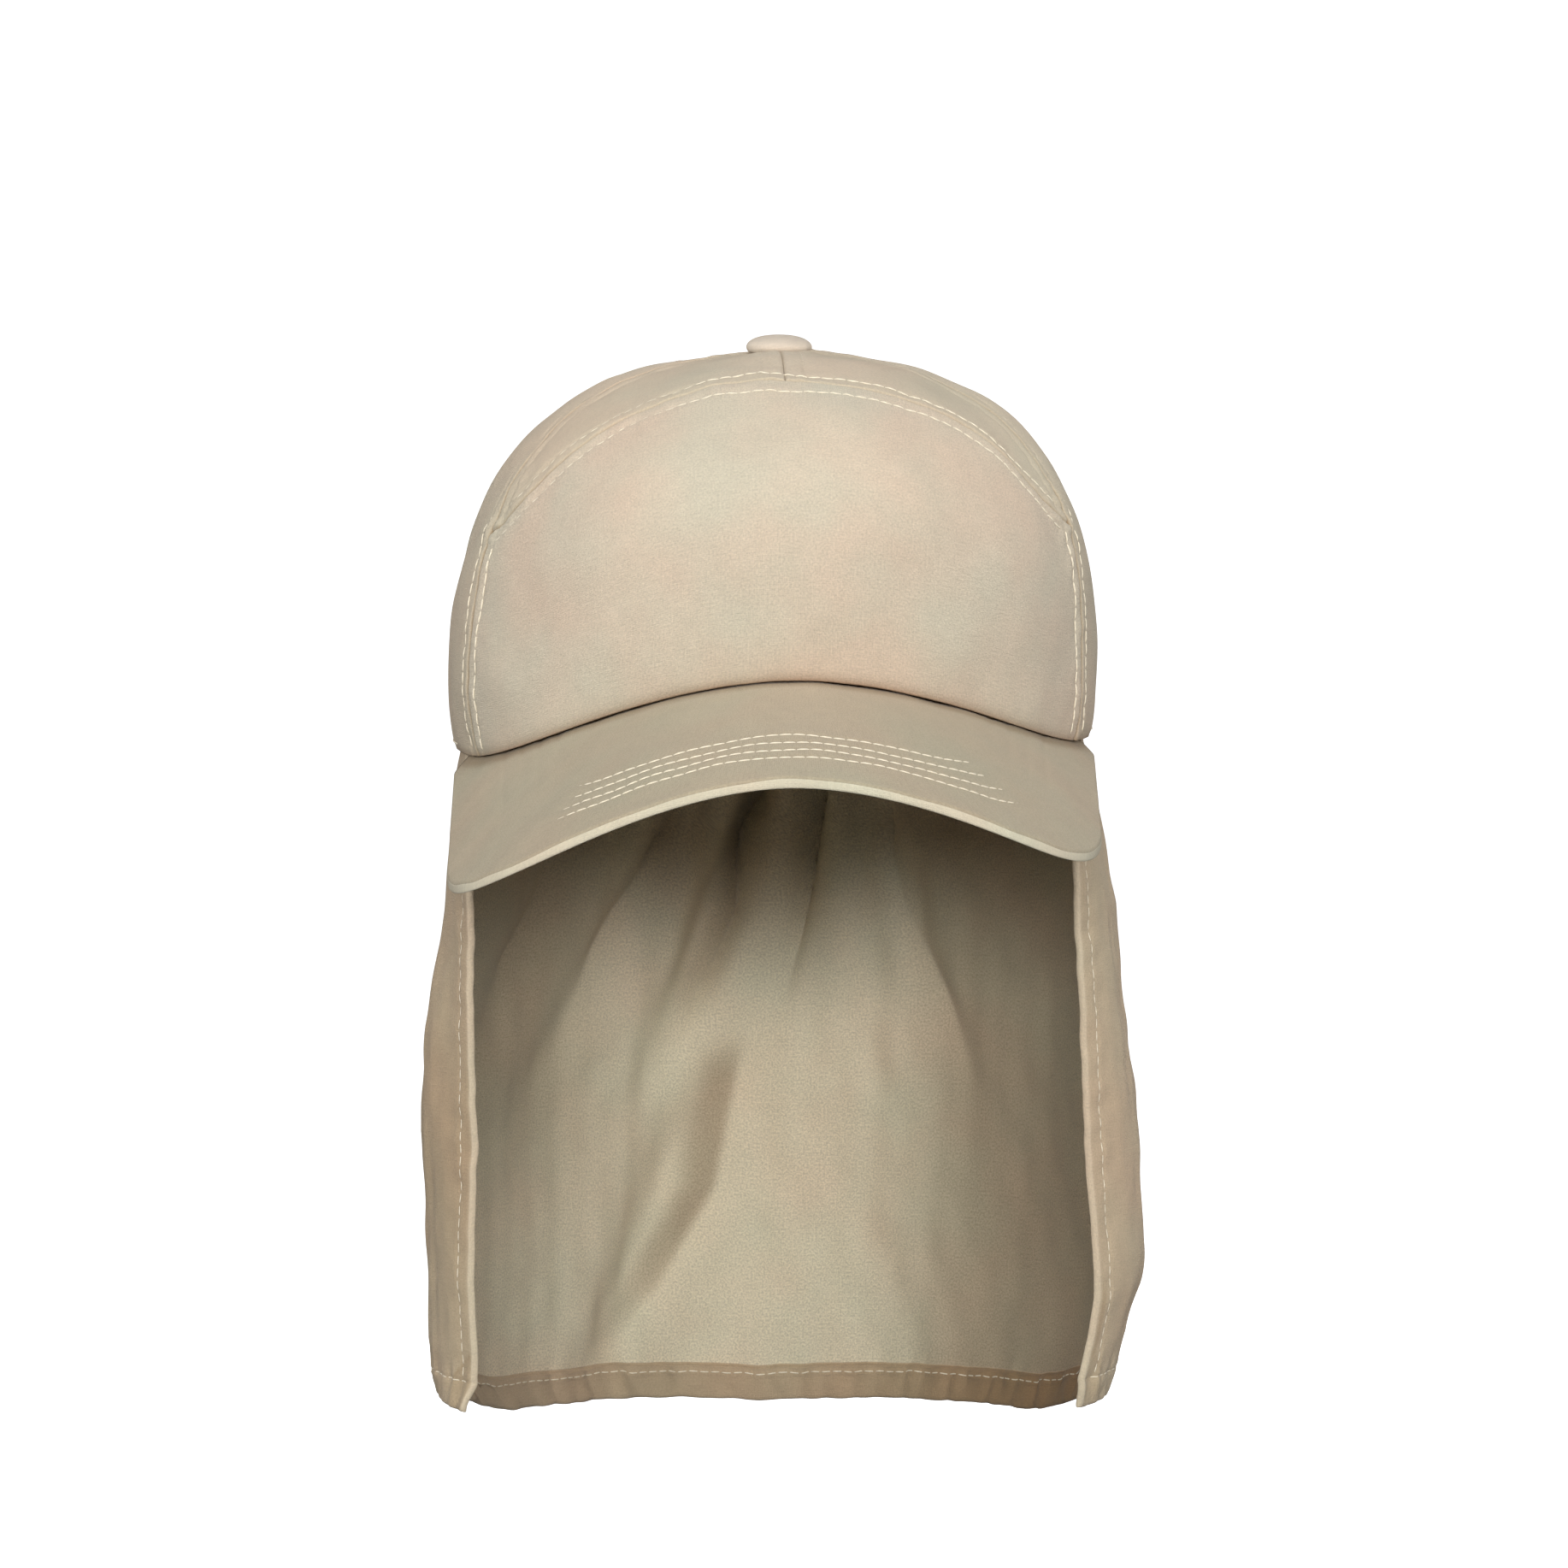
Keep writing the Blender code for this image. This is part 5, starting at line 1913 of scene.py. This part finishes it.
    def normal(self, around: Array, z: Array) -> Array:
        """Outward normals, from central differences.

        Args:
            around: places round the flap, from -1 at the -X front edge over 0 at the back to 1.
            z: heights.

        Returns:
            The unit normals.
        """
        across = self.skin(around + self.probe_around, z) - self.skin(around - self.probe_around, z)
        up = self.skin(around, z + self.probe_up) - self.skin(around, z - self.probe_up)
        return unit(np.cross(up, across))

    def wall(self, inward: Array, up: Array) -> Array:
        """Thickness of the cloth: one layer, and the folded hems along the front edges and foot.

        Args:
            inward: distance to the nearer front edge.
            up: height above the foot.

        Returns:
            The thicknesses.
        """
        side_step, foot_step = self.hem_steps
        hemmed = np.maximum(1.0 - ramp(inward, self.side_hem, side_step),
                            1.0 - ramp(up, self.bottom_hem, foot_step))
        return mix(self.cloth, self.hem, hemmed)

    def grid(self) -> tuple[Array, Array, Array]:
        """Places of the grid: shares round the flap, heights and shares of the way down.

        Rows are fine in the bottom hem, even above it and tucked into the crown at the top.
        Columns lie at fixed distances in the front hems and evenly between them, from +X to -X.

        Returns:
            The three arrays, by row from the foot up and by column.
        """
        low, edge = np.array(self.foot_rows_mm) * MM, np.array(self.edge_columns_mm) * MM
        rise = np.linspace(0.0, 1.0, self.even_rows)
        tucked = self.tuck_up * np.array(self.tucked_rows)
        share = np.concatenate([np.zeros_like(low), rise, np.ones_like(tucked)])[:, None]
        extra = np.concatenate([low, self.foot_spread * (1.0 - rise), tucked])[:, None]
        rim, foot = self.ends(np.array(1.0))
        down = np.clip((rim - mix(foot, rim, share) - extra) / (rim - foot), 0.0, 1.0)
        half = 1.0 - edge / self.inward(np.array(0.0), down)
        middle = np.linspace(1.0, -1.0, self.even_columns)[1:-1] * half[:, -1:]
        around = np.concatenate([half, middle, -half[:, ::-1]], axis=1)
        rim, foot = self.ends(around)
        z = mix(foot, rim, share) + extra
        return around, z, np.clip((rim - z) / (rim - foot), 0.0, 1.0)

    def build(self, finishes: dict) -> list[bpy.types.Object]:
        """Build the cloth with its hems, and the hems' stitches.

        Args:
            finishes: materials by the wardrobe's names.

        Returns:
            The objects.
        """
        around, z, down = self.grid()
        outside, normal = self.skin(around, z), self.normal(around, z)
        up, inward = z - self.ends(around)[1], self.inward(around, down)
        wall = self.wall(inward, up)
        near = np.clip(np.minimum(inward, up) / (self.hem / 2.0), 0.0, 1.0)
        full = np.sqrt(1.0 - (1.0 - near) ** 2 * self.edge_fullness)
        cut = (wall / 2.0 * (1.0 - full))[..., None]
        outer = outside - cut * normal
        inner = outside - (wall[..., None] - cut) * normal
        hemmed = np.minimum(inward - self.side_hem, up - self.bottom_hem) < self.hem_steps[0]
        outside_tone = self.outside_shade(around, down, inward, up)
        inside_tone = np.where(hemmed, self.hem_shade(around, inward), self.inside_shade(around, down))
        inside_finish = np.where(hemmed, 0, 1)[:-1, :-1]
        piece = Patchwork()
        piece.add_shell(outer, inner, flat_coordinates(outer), outside_tone, (0, inside_finish), inside_tone)
        cloths = [finishes["flap_out"], finishes["flap_in"]]
        made = piece.make("neck_flap_cloth", cloths, ("neck_flap",))
        stitches = Stitching("neck_flap_stitching", "flap_cloth", self.stitch_rows())
        return [made, stitches.build(finishes["thread"])]

    def stitch_rows(self) -> list[StitchRow]:
        """Stitches round the foot and down both front edges, on the outside and the inside.

        Returns:
            The rows.
        """
        rows = []
        around = np.linspace(-self.foot_row_end, self.foot_row_end, 400)
        runs = [(around, self.ends(around)[1] + self.stitch_up)]
        rise = np.linspace(0.0, 1.0, 160)
        rim, foot = self.ends(np.array(1.0))
        down = (1.0 - rise) * (1.0 - self.stitch_up / (rim - foot)) + rise * self.side_row_top / (rim - foot)
        for side in (-1.0, 1.0):
            edge = side * (1.0 - self.stitch_in / self.inward(np.array(0.0), down))
            runs.append((edge, rim - down * (rim - foot)))
        for place, z in runs:
            point, normal = self.skin(place, z), self.normal(place, z)
            rows.append(StitchRow(point, normal, self.stitch_show))
            rows.append(StitchRow(point - self.hem * normal, -normal, self.stitch_show))
        return rows


# Studio


@dataclass(frozen=True)
class LightPanel:
    """A soft light: its angles round and up in degrees, its distance, width and height, its watts."""

    name: str
    angles: tuple[float, float]
    away: float
    size: tuple[float, float]
    watts: float


@dataclass
class Studio:
    """Camera at the photograph's angle, a pale sweep and soft studio light."""

    distance: float = 1.8
    azimuth_deg: float = -2.0
    elevation_deg: float = 5.0
    lens: float = 150.0
    sensor_width: float = 36.0
    target: tuple[float, float, float] = (0.0034, 0.0, -0.0109)
    floor: float = -0.42
    sweep_bend: float = 0.8
    sweep_wall: float = 3.6
    sweep_top: float = 3.6
    paper: tuple[float, float] = (0.86, 0.90)
    paper_tooth: float = 300.0
    panels: tuple[LightPanel, ...] = (
        LightPanel("key", (0.0, 12.5), 3.2, (2.2, 0.55), 84.0),
        LightPanel("left side", (-80.0, 20.0), 2.4, (1.0, 1.0), 20.0),
        LightPanel("right side", (80.0, 20.0), 2.4, (1.0, 1.0), 17.0),
        LightPanel("back", (160.0, 28.0), 2.6, (1.6, 1.0), 9.0),
        LightPanel("top", (-5.0, 62.0), 2.2, (1.4, 1.4), 19.5),
    )
    room_strength: float = 0.085

    def direction(self, azimuth_deg: float, elevation_deg: float) -> Array:
        """Unit vector from the target towards a camera or light.

        Args:
            azimuth_deg: degrees round, from the front towards +X.
            elevation_deg: degrees up.

        Returns:
            The unit vector.
        """
        turn, rise = math.radians(azimuth_deg), math.radians(elevation_deg)
        return np.array([math.sin(turn) * math.cos(rise), -math.cos(turn) * math.cos(rise), math.sin(rise)])

    def aim(self, thing: bpy.types.Object, place: Array) -> None:
        """Put a camera or light somewhere and turn it to the target.

        Args:
            thing: the camera or light.
            place: where it stands.
        """
        back = unit(place - np.array(self.target))
        right = unit(np.cross((0.0, 0.0, 1.0), back))
        up = np.cross(back, right)
        matrix = np.eye(4)
        matrix[:3, 0], matrix[:3, 1], matrix[:3, 2], matrix[:3, 3] = right, up, back, place
        thing.matrix_world = Matrix(matrix.tolist())
        bpy.context.scene.collection.objects.link(thing)

    def camera(self) -> None:
        """Make the camera and hand it to the scene."""
        lens = bpy.data.cameras.new("camera")
        lens.lens = self.lens
        lens.sensor_width = self.sensor_width
        thing = bpy.data.objects.new("camera", lens)
        place = np.array(self.target) + self.distance * self.direction(self.azimuth_deg, self.elevation_deg)
        self.aim(thing, place)
        bpy.context.scene.camera = thing

    def light(self, panel: LightPanel) -> None:
        """Make one soft light and aim it at the target.

        Args:
            panel: the light to make.
        """
        lamp = bpy.data.lights.new(panel.name, "AREA")
        lamp.shape = "RECTANGLE"
        lamp.size, lamp.size_y = panel.size
        lamp.energy = panel.watts
        thing = bpy.data.objects.new(panel.name, lamp)
        self.aim(thing, np.array(self.target) + panel.away * self.direction(*panel.angles))

    def sweep(self) -> None:
        """A round floor that curves up into a wall: floor, quarter circle and wall, turned about Z."""
        turn = np.linspace(0.0, np.pi / 2.0, 24)
        bend = np.stack([self.sweep_wall + self.sweep_bend * np.sin(turn),
                         self.floor + self.sweep_bend * (1.0 - np.cos(turn))], axis=-1)
        ends = np.array([(0.0, self.floor), (self.sweep_wall + self.sweep_bend, self.sweep_top)])
        profile = np.concatenate([ends[:1], bend, ends[1:]])
        around = np.linspace(0.0, 2.0 * np.pi, 73)
        away, height = profile[:, None, 0], profile[:, None, 1]
        points = np.stack(np.broadcast_arrays(away * np.cos(around), away * np.sin(around), height), axis=-1)
        book = NodeBook("sweep_paper")
        tooth = book.noise(book.node("TexCoord", {}).outputs["Object"], self.paper_tooth, 2.0)
        book.shade({"Base Color": book.blend(tooth, *((grey,) * 3 for grey in self.paper))})
        book.shade({"Roughness": 0.95, "Emission Color": (1.0, 1.0, 1.0, 1.0), "Emission Strength": 1.0})
        mesh = bpy.data.meshes.new("sweep")
        rows, columns = points.shape[:2]
        numbers = np.arange(rows * columns).reshape(rows, columns)
        mesh.from_pydata(points.reshape(-1, 3).tolist(), [], Patchwork.quads(numbers).tolist())
        mesh.materials.append(book.material)
        mesh.shade_smooth()
        thing = bpy.data.objects.new("sweep", mesh)
        thing.visible_diffuse = False
        thing.visible_glossy = False
        bpy.context.scene.collection.objects.link(thing)

    def build(self) -> None:
        """Set up camera, sweep, lights and the even light of the room."""
        self.camera()
        self.sweep()
        for panel in self.panels:
            self.light(panel)
        world = bpy.data.worlds.new("room")
        world.use_nodes = True
        room = world.node_tree.nodes["Background"]
        room.inputs["Color"].default_value = (1.0, 1.0, 1.0, 1.0)
        room.inputs["Strength"].default_value = self.room_strength
        bpy.context.scene.world = world
        bpy.context.scene.view_settings.view_transform = "Standard"


def main() -> None:
    """Build the studio, the finishes and the cap's pieces in order."""
    logging.basicConfig(level=logging.INFO, format="%(message)s")
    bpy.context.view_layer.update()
    Studio().build()
    wardrobe = Wardrobe()
    finishes = {cloth.name: getattr(wardrobe, cloth.name).material() for cloth in fields(wardrobe)}
    form = CapForm()
    Crown(form).build(finishes)
    Button(form).build(finishes)
    Peak(form).build(finishes)
    NeckFlap(form).build(finishes)


if __name__ == "__main__":
    main()
